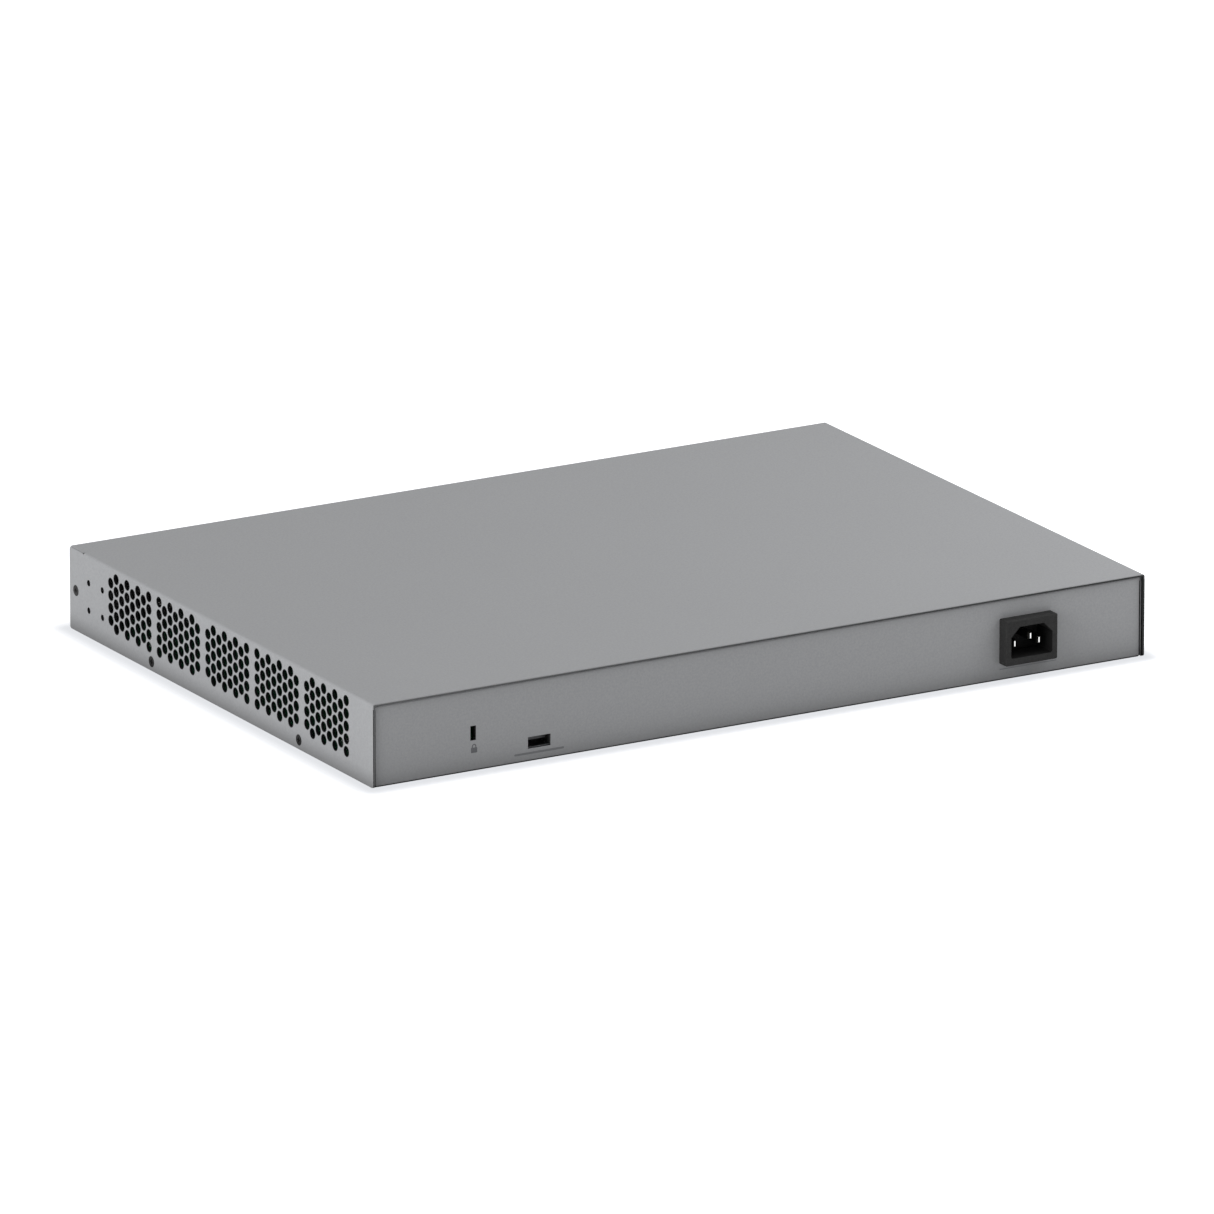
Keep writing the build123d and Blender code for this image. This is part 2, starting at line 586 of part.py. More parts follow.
def make_bezel():
    """Moulded fascia with openings for the ports and controls, hooked into the front panel."""
    x = (-COVER_IN_X + SHEET_GAP, COVER_IN_X - SHEET_GAP)
    y = (BEZEL_Y, BEZEL_Y + BEZEL_THICK)
    z = (COVER_LIFT, COVER_IN_Z - SHEET_GAP)
    bezel = block(x, y, z)
    bezel = fillet(bezel.edges().filter_by(Axis.Y), BEZEL_CORNER)
    bezel = chamfer(bezel.faces().sort_by(Axis.Y)[0].edges(), BEZEL_EDGE)
    through = (y[0] - 1, y[1] + 1)
    bezel -= port_cuts(through, PORT_FIT)
    lead_in = port_cuts((y[0] - 1, y[0] + BEZEL_EDGE / 2), PORT_FIT + BEZEL_EDGE / 2)
    bezel -= lead_in
    bezel -= [rod_y(px, through, CONTROL_Z, PIPE_RADIUS + BUTTON_FIT) for px in pipe_places()]
    bezel -= rod_y(MODE_X, through, CONTROL_Z, MODE_RADIUS + BUTTON_FIT)
    bezel -= rod_y(RESET_X, through, CONTROL_Z, RESET_HOLE)
    bezel -= rod_y(RESET_X, (y[1] - RESET_WELL, y[1] + 1), CONTROL_Z, RESET_PLUNGER + BUTTON_FIT)
    width, thick, length = HOOK
    for hook_x in HOOKS:
        for hook_z, up in ((BASE_SHEET + HOOK_INSET, -1), (WALL_TOP - HOOK_INSET, 1)):
            stem = block(about(hook_x, width), (y[1] - 0.5, y[1] + length), about(hook_z, thick))
            edge = hook_z + up * thick / 2
            start = PANEL_IN_Y + SHEET_GAP
            barb = Polyline((start, edge), (start, edge + up * HOOK_BARB), (y[1] + length, edge), close=True)
            bezel += [stem, along_x(make_face(barb), about(hook_x, width))]
    return bezel


def make_cover_screws():
    screws = []
    for side, turn in ((1, FROM_RIGHT), (-1, FROM_LEFT)):
        for y, z in SIDE_SCREWS + (FRONT_SIDE_SCREW,):
            screws.append(Pos(side * WIDTH / 2, y, z) * turn * flat_screw(SCREW_HEAD))
    return screws


def make_lock_plate():
    """Thick plate behind the rear wall that a security lock grips."""
    width, thick, height = LOCK_PLATE
    outline = RectangleRounded(width, height, LOCK_PLATE_CORNER)
    outline -= RectangleRounded(*LOCK_SLOT, LOCK_SLOT_CORNER)
    return along_y(Pos(*LOCK_PLACE) * outline, (WALL_IN_Y - thick, WALL_IN_Y))


def make_standoffs():
    return [
        rod_z(x, y, (BASE_SHEET, BOARD_Z), STANDOFF_RADIUS)
        - rod_z(x, y, (BASE_SHEET + STANDOFF_FLOOR, BOARD_TOP), SCREW_HOLE)
        for x, y in board_fixings()
    ]


# ---- Boards ----
def make_main_board():
    """L-shaped board: the full depth behind the ports, and short where the supply stands."""
    notch_x, notch_y = BOARD_NOTCH
    left, right = MAIN_BOARD_X
    front, back = MAIN_BOARD_Y
    outline = Polyline(
        (left, front), (right, front), (right, back), (notch_x, back), (notch_x, notch_y), (left, notch_y),
        close=True,
    )
    board = Pos(0, 0, BOARD_Z) * extrude(make_face(outline), BOARD_THICK)
    board = fillet(board.edges().filter_by(Axis.Z), BOARD_CORNER)
    return board - [rod_z(x, y, (BOARD_Z - 1, BOARD_TOP + 1), FIXING_HOLE) for x, y in MAIN_FIXINGS]


def make_supply_board():
    board = block(SUPPLY_X, SUPPLY_Y, (BOARD_Z, BOARD_TOP))
    return board - [rod_z(x, y, (BOARD_Z - 1, BOARD_TOP + 1), FIXING_HOLE) for x, y in SUPPLY_FIXINGS]


def make_insulator():
    """Film on the floor under the supply, holed round its standoffs."""
    film = block(SUPPLY_X, SUPPLY_Y, (BASE_SHEET, BASE_SHEET + INSULATOR))
    return film - [rod_z(x, y, (0, BOARD_Z), STANDOFF_RADIUS + 0.3) for x, y in SUPPLY_FIXINGS]


# ---- Jacks ----
def jack_places(middle):
    """Centre line, contact height and direction away from the contacts, for each jack in a block."""
    web = BOARD_TOP + BLOCK_HEIGHT / 2
    for column in range(JACKS_ACROSS):
        x = middle + (column - (JACKS_ACROSS - 1) / 2) * JACK_PITCH
        yield x, web + JACK_WEB / 2, 1
        yield x, web - JACK_WEB / 2, -1


def jack_cavity(x, z, up):
    """Plug opening: the body, the key step and the catch slot, one beyond the other."""
    deep = (BLOCK_Y - 1, BLOCK_Y + JACK_DEEP)
    shape = None
    reach = z
    for width, height in (JACK_BODY, JACK_KEY, JACK_CATCH):
        span = sorted((reach, reach + up * height))
        step = block(about(x, width), deep, span)
        shape = step if shape is None else shape + step
        reach += up * height
    return shape


def lens_box(x, z, up, side, grow):
    """Place of one light window, beside the key step; grow widens it for its seat."""
    width, height, deep = LENS
    middle = z + up * (JACK_BODY[1] + 0.5 + height / 2)
    return block(
        about(x + side * LENS_OFFSET, width + 2 * grow),
        (BLOCK_Y - grow, BLOCK_Y + deep + grow),
        about(middle, height + 2 * grow),
    )


def make_jack_housing(middle):
    wide = BLOCK_WIDTH - 2 * SHIELD
    top = BOARD_TOP + BLOCK_HEIGHT - SHIELD
    housing = block(about(middle, wide), (BLOCK_Y, BLOCK_Y + BLOCK_DEPTH - SHIELD), (BOARD_TOP, top))
    cuts = []
    for x, z, up in jack_places(middle):
        cuts.append(jack_cavity(x, z, up))
        cuts += [lens_box(x, z, up, side, LENS_FIT) for side in (-1, 1)]
    return housing - cuts


def make_jack_shield(middle):
    """Tin can over the top, sides and back of a block."""
    back = BLOCK_Y + BLOCK_DEPTH
    top = BOARD_TOP + BLOCK_HEIGHT
    outer = block(about(middle, BLOCK_WIDTH), (BLOCK_Y, back), (BOARD_TOP, top))
    wide = BLOCK_WIDTH - 2 * SHIELD
    return outer - block(about(middle, wide), (BLOCK_Y - 1, back - SHIELD), (BOARD_TOP - 1, top - SHIELD))


def make_contacts(middle):
    """Eight sprung wires in each jack, sloping from its contact side towards the back."""
    wires = []
    width, thick = CONTACT
    near, far = CONTACT_REACH
    back = BLOCK_Y + JACK_DEEP
    front = back - CONTACT_LENGTH
    for x, z, up in jack_places(middle):
        side = Polyline(
            (front, z), (front, z + up * near), (back, z + up * far),
            (back, z + up * (far - thick)), (front + thick, z),
            close=True,
        )
        profile = make_face(side)
        for i in range(CONTACTS):
            place = x + (i - (CONTACTS - 1) / 2) * CONTACT_PITCH
            wires.append(along_x(profile, about(place, width)))
    return wires


def make_lenses():
    return [
        lens_box(x, z, up, side, 0)
        for middle in JACK_BLOCKS.values() for x, z, up in jack_places(middle) for side in (-1, 1)
    ]


# ---- Transceiver cage ----
def bay_places():
    return [CAGE_MIDDLE + (i - (CAGE_BAYS - 1) / 2) * CAGE_PITCH for i in range(CAGE_BAYS)]


def make_cage():
    """Ganged sheet cage: a bay per transceiver, open in front, with a perforated roof."""
    back = BLOCK_Y + CAGE_DEPTH
    cage = block(about(CAGE_MIDDLE, CAGE_WIDTH), (BLOCK_Y, back), (BOARD_TOP, BOARD_TOP + CAGE_HEIGHT))
    inside = (BOARD_TOP + CAGE_WALL, BOARD_TOP + CAGE_HEIGHT - CAGE_WALL)
    radius, pitch, rows = CAGE_VENT
    socket_y = back - CAGE_WALL - CAGE_SOCKET[2]
    for x in bay_places():
        wide = about(x, CAGE_PITCH - CAGE_WALL)
        cage -= block(wide, (BLOCK_Y - 1, back - CAGE_WALL), inside)
        cage -= block(about(x, CAGE_SOCKET[0]), (socket_y, back - CAGE_WALL), (0, BOARD_TOP + CAGE_WALL))
        cage -= [
            rod_z(x + dx * pitch, back - CAGE_VENT_START - row * pitch, (inside[1] - 1, HEIGHT), radius)
            for dx in (-1, 0, 1) for row in range(rows)
        ]
    return cage


def make_cage_sockets():
    """Card-edge sockets on the board at the back of the bays."""
    width, height, deep = CAGE_SOCKET
    back = BLOCK_Y + CAGE_DEPTH - CAGE_WALL
    slot_wide, slot_high, slot_deep, slot_rise = CAGE_SOCKET_SLOT
    slot_y = (back - deep - 1, back - deep + slot_deep)
    slot_z = about(BOARD_TOP + slot_rise, slot_high)
    return [
        standing(x, back - deep / 2, (width, deep, height)) - block(about(x, slot_wide), slot_y, slot_z)
        for x in bay_places()
    ]


# ---- Front controls ----
def pipe_leg_y():
    return BEZEL_Y + PIPE_BACK


def make_light_pipe():
    """One moulding: a round arm to the bezel over each lamp, joined by a rail."""
    r = PIPE_RADIUS
    foot = BOARD_TOP + LAMP[2] + LAMP_GAP
    y = pipe_leg_y()
    pipes = None
    for x in pipe_places():
        arm = rod_y(x, (BEZEL_Y + BEZEL_SET_BACK / 2, y), CONTROL_Z, r)
        leg = rod_z(x, y, (foot, CONTROL_Z), r)
        elbow = Pos(x, y, CONTROL_Z) * Sphere(r)
        one = arm + leg + elbow
        pipes = one if pipes is None else pipes + one
    ends = pipe_places()
    side, drop = PIPE_RAIL
    rail = block((ends[0], ends[-1]), about(y, side), about(CONTROL_Z - drop, side))
    return pipes + rail


def make_lamps():
    return [standing(x, pipe_leg_y(), LAMP) for x in pipe_places()]


def make_button(x, radius, tip, back):
    """A round plunger with a collar that keeps it behind the front panel."""
    collar_y = PANEL_IN_Y + COLLAR_GAP
    stem = rod_y(x, (tip, collar_y), CONTROL_Z, radius)
    stem = chamfer(stem.edges().sort_by(Axis.Y)[0], BUTTON_CHAMFER)
    collar = rod_y(x, (collar_y, collar_y + BUTTON_COLLAR), CONTROL_Z, radius + BUTTON_COLLAR)
    return stem + collar + rod_y(x, (collar_y, back), CONTROL_Z, BUTTON_NOSE)


def switch_front(travel):
    """Where a switch's body starts, clear of its button's collar at the end of the travel."""
    return PANEL_IN_Y + COLLAR_GAP + BUTTON_COLLAR + travel + SWITCH_CLEAR


def make_switch(x, travel):
    """Tactile switch on the board, with its short actuator facing the button."""
    front = switch_front(travel)
    width, deep, height = SWITCH_BODY
    body = block(about(x, width), (front, front + deep), (BOARD_TOP, BOARD_TOP + height))
    well = rod_y(x, (front - 1, front + travel), CONTROL_Z, BUTTON_NOSE + NOSE_GAP)
    return body - well


# ---- Rear fittings ----
def make_usb_shell():
    """Folded tin shell of the data port, on the main board behind the rear wall's window."""
    width, deep, height = USB_SHELL
    shell = block(about(USB_X, width), (USB_FRONT - deep, USB_FRONT), (BOARD_TOP, BOARD_TOP + height))
    shell = fillet(shell.edges().filter_by(Axis.Y), USB_CORNER)
    inside = block(
        about(USB_X, width - 2 * USB_WALL),
        (USB_FRONT - deep + USB_WALL, USB_FRONT + 1),
        about(USB_Z, height - 2 * USB_WALL),
    )
    return shell - inside


def make_usb_insert():
    """Plastic tongue in the upper half of the port, and its root against the shell's back."""
    width, deep, thick = USB_INSERT
    back = USB_FRONT - USB_SHELL[1] + USB_WALL
    tongue = block(about(USB_X, width), (back, back + deep), (USB_Z + 0.2, USB_Z + 0.2 + thick))
    inner = [USB_SHELL[0] - 2 * USB_WALL, USB_SHELL[2] - 2 * USB_WALL]
    return tongue + block(about(USB_X, inner[0]), (back, back + USB_ROOT), about(USB_Z, inner[1]))


def inlet_socket_face():
    """Recess outline of the mains inlet: a rectangle with its two upper corners cut off."""
    outline = Rectangle(*INLET_SOCKET)
    outline = chamfer(outline.vertices().group_by(Axis.Y)[-1], INLET_CHAMFER)
    outline = fillet(outline.vertices().group_by(Axis.Y)[0], INLET_SOCKET_CORNER)
    return Pos(*INLET_PLACE) * outline


def make_inlet():
    """Snap-in mains inlet: a thick collar outside the wall, its body and clips inside."""
    x, z = INLET_PLACE
    collar = along_y(Pos(x, z) * RectangleRounded(*INLET_COLLAR, INLET_CORNER), (REAR_Y, INLET_FACE))
    collar = chamfer(collar.faces().sort_by(Axis.Y)[-1].edges(), INLET_BEVEL)
    body = block(about(x, INLET_BODY[0]), (INLET_BACK, REAR_Y), about(z, INLET_BODY[1]))
    body = fillet(body.edges().filter_by(Axis.Y), INLET_BODY_CORNER)
    height, width, length = CLIP
    start = WALL_IN_Y - SHEET_GAP
    clips = []
    for side in (-1, 1):
        edge = x + side * INLET_BODY[0] / 2
        points = [(edge - side, start), (edge + side * height, start), (edge - side, start - length)]
        wedge = extrude(make_face(Polyline(*points, close=True)), width)
        clips.append(Pos(0, 0, z - width / 2) * wedge)
    socket = along_y(inlet_socket_face(), (INLET_FACE - INLET_SOCKET_DEEP, INLET_FACE + 1))
    return collar + body + clips - socket - make_pins()


def pin_places():
    x, z = INLET_PLACE
    return (
        (x - PIN_SPACING, z - PIN_RISE, 0.0),
        (x, z + PIN_RISE, EARTH_AHEAD),
        (x + PIN_SPACING, z - PIN_RISE, 0.0),
    )


def make_pins():
    """Three flat pins, each with a spade for its lead behind the inlet."""
    pins = []
    for x, z, ahead in pin_places():
        tip = INLET_FACE - PIN_SET_BACK + ahead
        blade = block(about(x, PIN[0]), (INLET_BACK, tip), about(z, PIN[1]))
        end = blade.faces().sort_by(Axis.Y)[-1]
        blade = chamfer(end.edges(), *PIN_TAPER, reference=end)
        spade = block(about(x, SPADE[0]), (INLET_BACK - SPADE[2], INLET_BACK + 1), about(z, SPADE[1]))
        pins.append(blade + spade)
    return pins


def make_boots():
    """Insulated receptacles pushed over the spades."""
    width, height, length = BOOT
    end = INLET_BACK - BOOT_GAP
    deep = (INLET_BACK - SPADE[2] - 0.5, INLET_BACK)
    boots = []
    for x, z, _ in pin_places():
        boot = block(about(x, width), (end - length, end), about(z, height))
        boot = fillet(boot.edges().filter_by(Axis.Y), BOOT_CORNER)
        boots.append(boot - block(about(x, SPADE[0] + 2 * BOOT_FIT), deep, about(z, SPADE[1] + 2 * BOOT_FIT)))
    return boots


# ---- Supply ----
def make_supply_sockets():
    """The supply's mains socket and its outlet header."""
    x, _ = INLET_PLACE
    mains = standing(x, AC_SOCKET_Y, AC_SOCKET)
    outlet = standing(DC_PLUG_X[0], DC_Y, DC_PLUG)
    return [mains, outlet]


def boot_end():
    return INLET_BACK - BOOT_GAP - BOOT[2]


def make_live_leads():
    start = boot_end()
    end = AC_SOCKET_Y + AC_SOCKET[1] / 2
    low = BOARD_TOP + AC_SOCKET[2] / 2
    run = (start - end) / 3
    leads = []
    for x, z, ahead in pin_places():
        if ahead:
            continue
        points = [(x, start, z), (x, start - run, z), (x, end + run, low), (x, end, low)]
        leads.append(lead(points, run * 0.8))
    return leads


def make_earth_lead():
    """From the earth spade along the back of the supply and down to its lug on the floor."""
    x, z, _ = pin_places()[1]
    lug_x, lug_y = EARTH_STUD
    low = BASE_SHEET + EARTH_LUG[1]
    end_x = lug_x + EARTH_TONGUE[0] - EARTH_TONGUE[1] / 2
    points = [(x, boot_end(), z), (x, lug_y, z), (end_x, lug_y, z), (end_x, lug_y, low)]
    return lead(points, EARTH_TURN)


def make_earth_lug():
    """Flat lug under the stud's nut, reaching to the lead."""
    x, y = EARTH_STUD
    radius, thick = EARTH_LUG
    span = (BASE_SHEET, BASE_SHEET + thick)
    reach, width = EARTH_TONGUE
    lug = rod_z(x, y, span, radius) + block((x, x + reach), about(y, width), span)
    return lug - rod_z(x, y, (0, HEIGHT), EARTH_STUD_SIZE[0] + BUTTON_FIT)


def make_earth_stud():
    """Threaded stud pressed into the floor, with its nut."""
    x, y = EARTH_STUD
    radius, height = EARTH_STUD_SIZE
    across, thick = EARTH_NUT
    nut = Pos(x, y, BASE_SHEET + EARTH_LUG[1]) * extrude(RegularPolygon(across, 6), thick)
    return rod_z(x, y, (BASE_SHEET, BASE_SHEET + height), radius) + nut


def make_harness():
    """Leads that arch from the supply's outlet to the main board."""
    top = BOARD_TOP + DC_PLUG[2]
    leads = []
    for i in range(DC_LEADS):
        y = DC_Y + (i - (DC_LEADS - 1) / 2) * DC_LEAD_PITCH
        start, end = DC_PLUG_X
        points = [(start, y, top), (start, y, top + DC_ARCH), (end, y, top + DC_ARCH), (end, y, top)]
        leads.append(lead(points, DC_ARCH * 0.8, THIN_LEAD))
    return leads


def transformer_middle():
    return BOARD_TOP + TRANSFORMER_LIFT + TRANSFORMER_CORE[2] / 2


def fins(x, y, size, count, foot, base):
    """A finned heatsink: a base plate and upright fins along Y."""
    wide, deep, high = size
    sink = block(about(x, wide), about(y, deep), (foot, foot + base))
    pitch = (wide - FIN_THICK) / (count - 1)
    for i in range(count):
        place = x + (i - (count - 1) / 2) * pitch
        sink += block(about(place, FIN_THICK), about(y, deep), (foot + base / 2, foot + high))
    return sink


def make_transformer_core():
    """Two E halves of a ferrite core, met at the middle leg, on their bobbin's frame."""
    x, y = TRANSFORMER
    wide, deep, high = TRANSFORMER_CORE
    core = block(about(x, wide), about(y, deep), about(transformer_middle(), high))
    leg = wide / 4
    for side in (-1, 1):
        gap = about(x + side * (leg + TRANSFORMER_WINDOW) / 2, TRANSFORMER_WINDOW)
        core -= block(gap, about(y, 2 * deep), about(transformer_middle(), high - leg))
    return core


def make_transformer_coil():
    """Winding round the core's middle leg, bulging past the core at both sides, on two pads."""
    x, y = TRANSFORMER
    wide, deep, high = TRANSFORMER_CORE
    leg = wide / 4
    tall = high - leg - COIL_GAP
    across = leg + 2 * TRANSFORMER_WINDOW - COIL_GAP
    foot = transformer_middle() - tall / 2
    coil = standing(x, y, (across, deep + 2 * COIL_BULGE, tall), foot)
    coil = fillet(coil.edges().filter_by(Axis.Z), COIL_BULGE - 1)
    coil -= block(about(x, leg + SHEET_GAP), about(y, deep + SHEET_GAP), (0, HEIGHT))
    pad_y = (deep + COIL_BULGE) / 2
    pads = [standing(x, y + side * pad_y, (across - COIL_BULGE, 4, foot - BOARD_TOP)) for side in (-1, 1)]
    return coil + pads


def can(x, y, size):
    """An electrolytic capacitor, with its crimped groove near the foot."""
    radius, height = size
    place, outside, groove = CAN_GROOVE
    body = rod_z(x, y, (BOARD_TOP, BOARD_TOP + height), radius)
    body = fillet(body.edges().group_by(Axis.Z)[-1], radius / 6)
    return body - Pos(x, y, BOARD_TOP + height * place) * Torus(radius + outside, groove)


def make_transistors():
    """Power transistors held against the two bars, on their legs."""
    thick, wide, high = TRANSISTOR
    leg_thick, leg_wide, leg_high = TRANSISTOR_LEGS
    bodies = []
    for bar, side in zip(SINK_BARS, (1, -1)):
        x = bar + side * (SINK_BAR[0] + thick) / 2
        for y in (SINK_BAR_Y - TRANSISTOR_OFFSET, SINK_BAR_Y + TRANSISTOR_OFFSET):
            legs = standing(x, y, (leg_thick, leg_wide, leg_high))
            bodies.append(standing(x, y, (thick, wide, high), BOARD_TOP + leg_high) + legs)
    return bodies


def make_choke():
    """Toroid standing on edge in a holder."""
    outer, inner, thick = CHOKE_RING
    x, y = CHOKE
    middle = BOARD_TOP + outer + CHOKE_HOLDER / 2
    ring = rod_x(about(x, thick), y, middle, outer) - rod_x(about(x, thick + 2), y, middle, inner)
    holder = standing(x, y, (thick + 3, 2 * outer, CHOKE_HOLDER))
    return [ring, holder - rod_x(about(x, thick + 5), y, middle, outer + LENS_FIT)]


def make_fuse():
    """Glass tube with a metal cap at each end, held in two clips."""
    x, y = FUSE
    radius, length = FUSE_TUBE
    z = BOARD_TOP + radius + FUSE_CLIP[2] / 2
    fuse = rod_y(x, about(y, length), z, radius - SHEET_GAP)
    for side in (-1, 1):
        end = y + side * (length + FUSE_CLIP[1]) / 2
        fuse += [rod_y(x, about(end, FUSE_CAP), z, radius), standing(x, end, FUSE_CLIP)]
    return fuse


# ---- Main board parts ----
def make_board_coils():
    first, y, pitch, count = COIL_ROW
    coils = [standing(first + i * pitch, y, COIL_SIZE) for i in range(count)]
    return [chamfer(coil.edges().filter_by(Axis.Z), COIL_CHAMFER) for coil in coils]


def make_board_cans():
    first, y, pitch, count = CAN_ROW
    return [can(first + i * pitch, y, BOARD_CAN) for i in range(count)]


def fan_exit(y):
    return y + FAN_LEAD_OFFSET[0], FAN_Z + FAN_LEAD_OFFSET[1]


def fan_plug_y(y):
    """Each plug is level with its lead, but stays on the board."""
    return min(fan_exit(y)[0], BOARD_NOTCH[1] - FAN_PLUG[1] - 3)


def make_board_sockets():
    """Fan plugs along the left edge, and the header that takes the supply's leads."""
    plugs = [standing(FAN_PLUG_X, fan_plug_y(y), FAN_PLUG) for y in FAN_YS]
    return plugs + [standing(DC_PLUG_X[1], DC_Y, DC_PLUG)]


# ---- Fans, drawn with the axis on +Z and the outlet face at the origin ----
def on_side(shape, y):
    """Stand a fan against its bracket, blowing out through the side."""
    return Pos(FAN_X, y, FAN_Z) * Rot(0, 90, 0) * shape


def fan_corners():
    half = FAN_SPACING / 2
    return [(sx * half, sy * half) for sx in (-1, 1) for sy in (-1, 1)]


def make_fan_frame():
    """Two square flanges on a round waist, with the motor's base carried on four struts."""
    plate = RectangleRounded(FAN_SIZE, FAN_SIZE, FAN_CORNER)
    holes = [Pos(*corner) * Circle(FAN_HOLE) for corner in fan_corners()]
    flange = extrude(plate - holes, FAN_FLANGE)
    frame = flange + Pos(0, 0, FAN_DEEP - FAN_FLANGE) * flange
    frame += rod_z(0, 0, (0, FAN_DEEP), FAN_WAIST)
    frame -= rod_z(0, 0, (-1, FAN_DEEP + 1), FAN_BORE)
    base_radius, base_high = MOTOR_BASE
    frame += rod_z(0, 0, (0, base_high), base_radius)
    for i in range(STRUTS):
        strut = block((base_radius - 1, FAN_BORE + 0.5), about(0, STRUT_WIDTH), (0, base_high))
        frame += Rot(0, 0, 45 + i * 360 / STRUTS) * strut
    bore = SHAFT_RADIUS + BEARING_FIT
    frame += rod_z(0, 0, (base_high - 0.5, CORE_SPAN[1] + 1), bore + BEARING_WALL)
    return frame - rod_z(0, 0, (1.0, FAN_DEEP), bore)


def make_fan_rotor():
    """Cup-shaped hub with its shaft, and swept blades that twist from root to tip."""
    cup = rod_z(0, 0, (HUB_TOP - HUB_DEEP, HUB_TOP), HUB_RADIUS)
    cup = fillet(cup.edges().group_by(Axis.Z)[-1], 0.8)
    cup -= rod_z(0, 0, (0, HUB_TOP - HUB_WALL), HUB_RADIUS - HUB_RIM)
    rotor = cup + rod_z(0, 0, (MOTOR_BASE[1] - 1.0, HUB_TOP - HUB_WALL / 2), SHAFT_RADIUS)
    middle = HUB_TOP - HUB_DEEP / 2
    root = blade_section(HUB_RADIUS - 0.8, BLADE_CHORD[0], BLADE_ROOT_PITCH, middle)
    tip = blade_section(FAN_BORE + 0.5, BLADE_CHORD[1], BLADE_TIP_PITCH, middle)
    blade = loft([root, tip])
    blade &= rod_z(0, 0, (0, FAN_DEEP), BLADE_TIP)
    for i in range(BLADES):
        rotor += Rot(0, 0, i * 360 / BLADES) * blade
    return rotor


def blade_section(radius, chord, pitch, middle):
    """A thin rounded strip across the blade, at one distance from the axis."""
    plane = Plane(origin=(radius, 0, middle), x_dir=(0, 1, 0), z_dir=(1, 0, 0))
    return plane * Rot(0, 0, pitch) * RectangleRounded(chord, BLADE_THICK, BLADE_THICK / 2 - 0.01)


def make_fan_core():
    """Laminated core with T-shaped poles, on the bearing tube."""
    low, high = CORE_SPAN
    tube = SHAFT_RADIUS + BEARING_FIT + BEARING_WALL
    arm, shoe, thick = POLE
    core = Circle(tube + CORE_YOKE)
    arc = Circle(CORE_RADIUS) - Circle(CORE_RADIUS - thick)
    for i in range(CORE_POLES):
        turn = Rot(0, 0, i * 360 / CORE_POLES)
        core += turn * Pos(CORE_RADIUS / 2, 0) * Rectangle(CORE_RADIUS - thick, arm)
        core += turn * (arc & Pos(CORE_RADIUS, 0) * Rectangle(CORE_RADIUS, shoe))
    return Pos(0, 0, low) * extrude(core - Circle(tube + LENS_FIT), high - low)


def make_fan_bracket():
    """Upright sheet that carries the fans, with tabs on the floor between them."""
    ends = bracket_tabs()
    tab_wide, tab_long = BRACKET_TAB
    low = ends[0] - tab_wide / 2
    high = ends[-1] + tab_wide / 2
    plate = block((BRACKET_X, FAN_X), (low, high), (BASE_SHEET, WALL_TOP))
    plate = fillet([e for e in plate.edges().filter_by(Axis.X) if e.center().Z > HEIGHT / 2], BRACKET_CORNER)
    for y in ends:
        across = (y - tab_wide / 2, y + tab_wide / 2)
        plate += block((BRACKET_X, BRACKET_X + tab_long), across, (BASE_SHEET, 2 * BASE_SHEET))
    cuts = []
    for y in FAN_YS:
        cuts.append(rod_x(about(BRACKET_X, 6), y, FAN_Z, FAN_BORE))
        cuts += [rod_x(about(BRACKET_X, 6), y + dy, FAN_Z + dz, SCREW_HOLE) for dy, dz in fan_corners()]
        cuts.append(block(about(BRACKET_X, 6), about(y, FAN_SIZE), (0, FAN_Z - FAN_SIZE / 2)))
    for x, y in under_fixings()[len(FRONT_FIXINGS):]:
        cuts.append(rod_z(x, y, (0, 3), SCREW_HOLE))
    for y, z in SIDE_SCREWS:
        cuts.append(rod_x(about(BRACKET_X, 6), y, z, SCREW_RADIUS + SCREW_CLEAR))
    return plate - cuts


def make_fan_screws():
    """Long screws through both flanges of each fan into the bracket."""
    length = FAN_DEEP + BASE_SHEET
    one = pan_screw(length)
    inner = FAN_X + FAN_DEEP
    return [
        Pos(inner, y + dy, FAN_Z + dz) * FROM_RIGHT * one for y in FAN_YS for dy, dz in fan_corners()
    ]


def make_fan_leads():
    leads = []
    start_x = FAN_X + FAN_DEEP
    end_x = FAN_PLUG_X - FAN_PLUG[0] / 2
    for y in FAN_YS:
        exit_y, z = fan_exit(y)
        plug_y = fan_plug_y(y)
        if abs(plug_y - exit_y) < 0.1:
            leads.append(lead([(start_x, exit_y, z), (end_x, exit_y, z)], 0, THIN_LEAD))
            continue
        middle = (start_x + end_x) / 2
        points = [(start_x, exit_y, z), (middle, exit_y, z), (middle, plug_y, z), (end_x, plug_y, z)]
        leads.append(lead(points, (end_x - start_x) * 0.45, THIN_LEAD))
    return leads


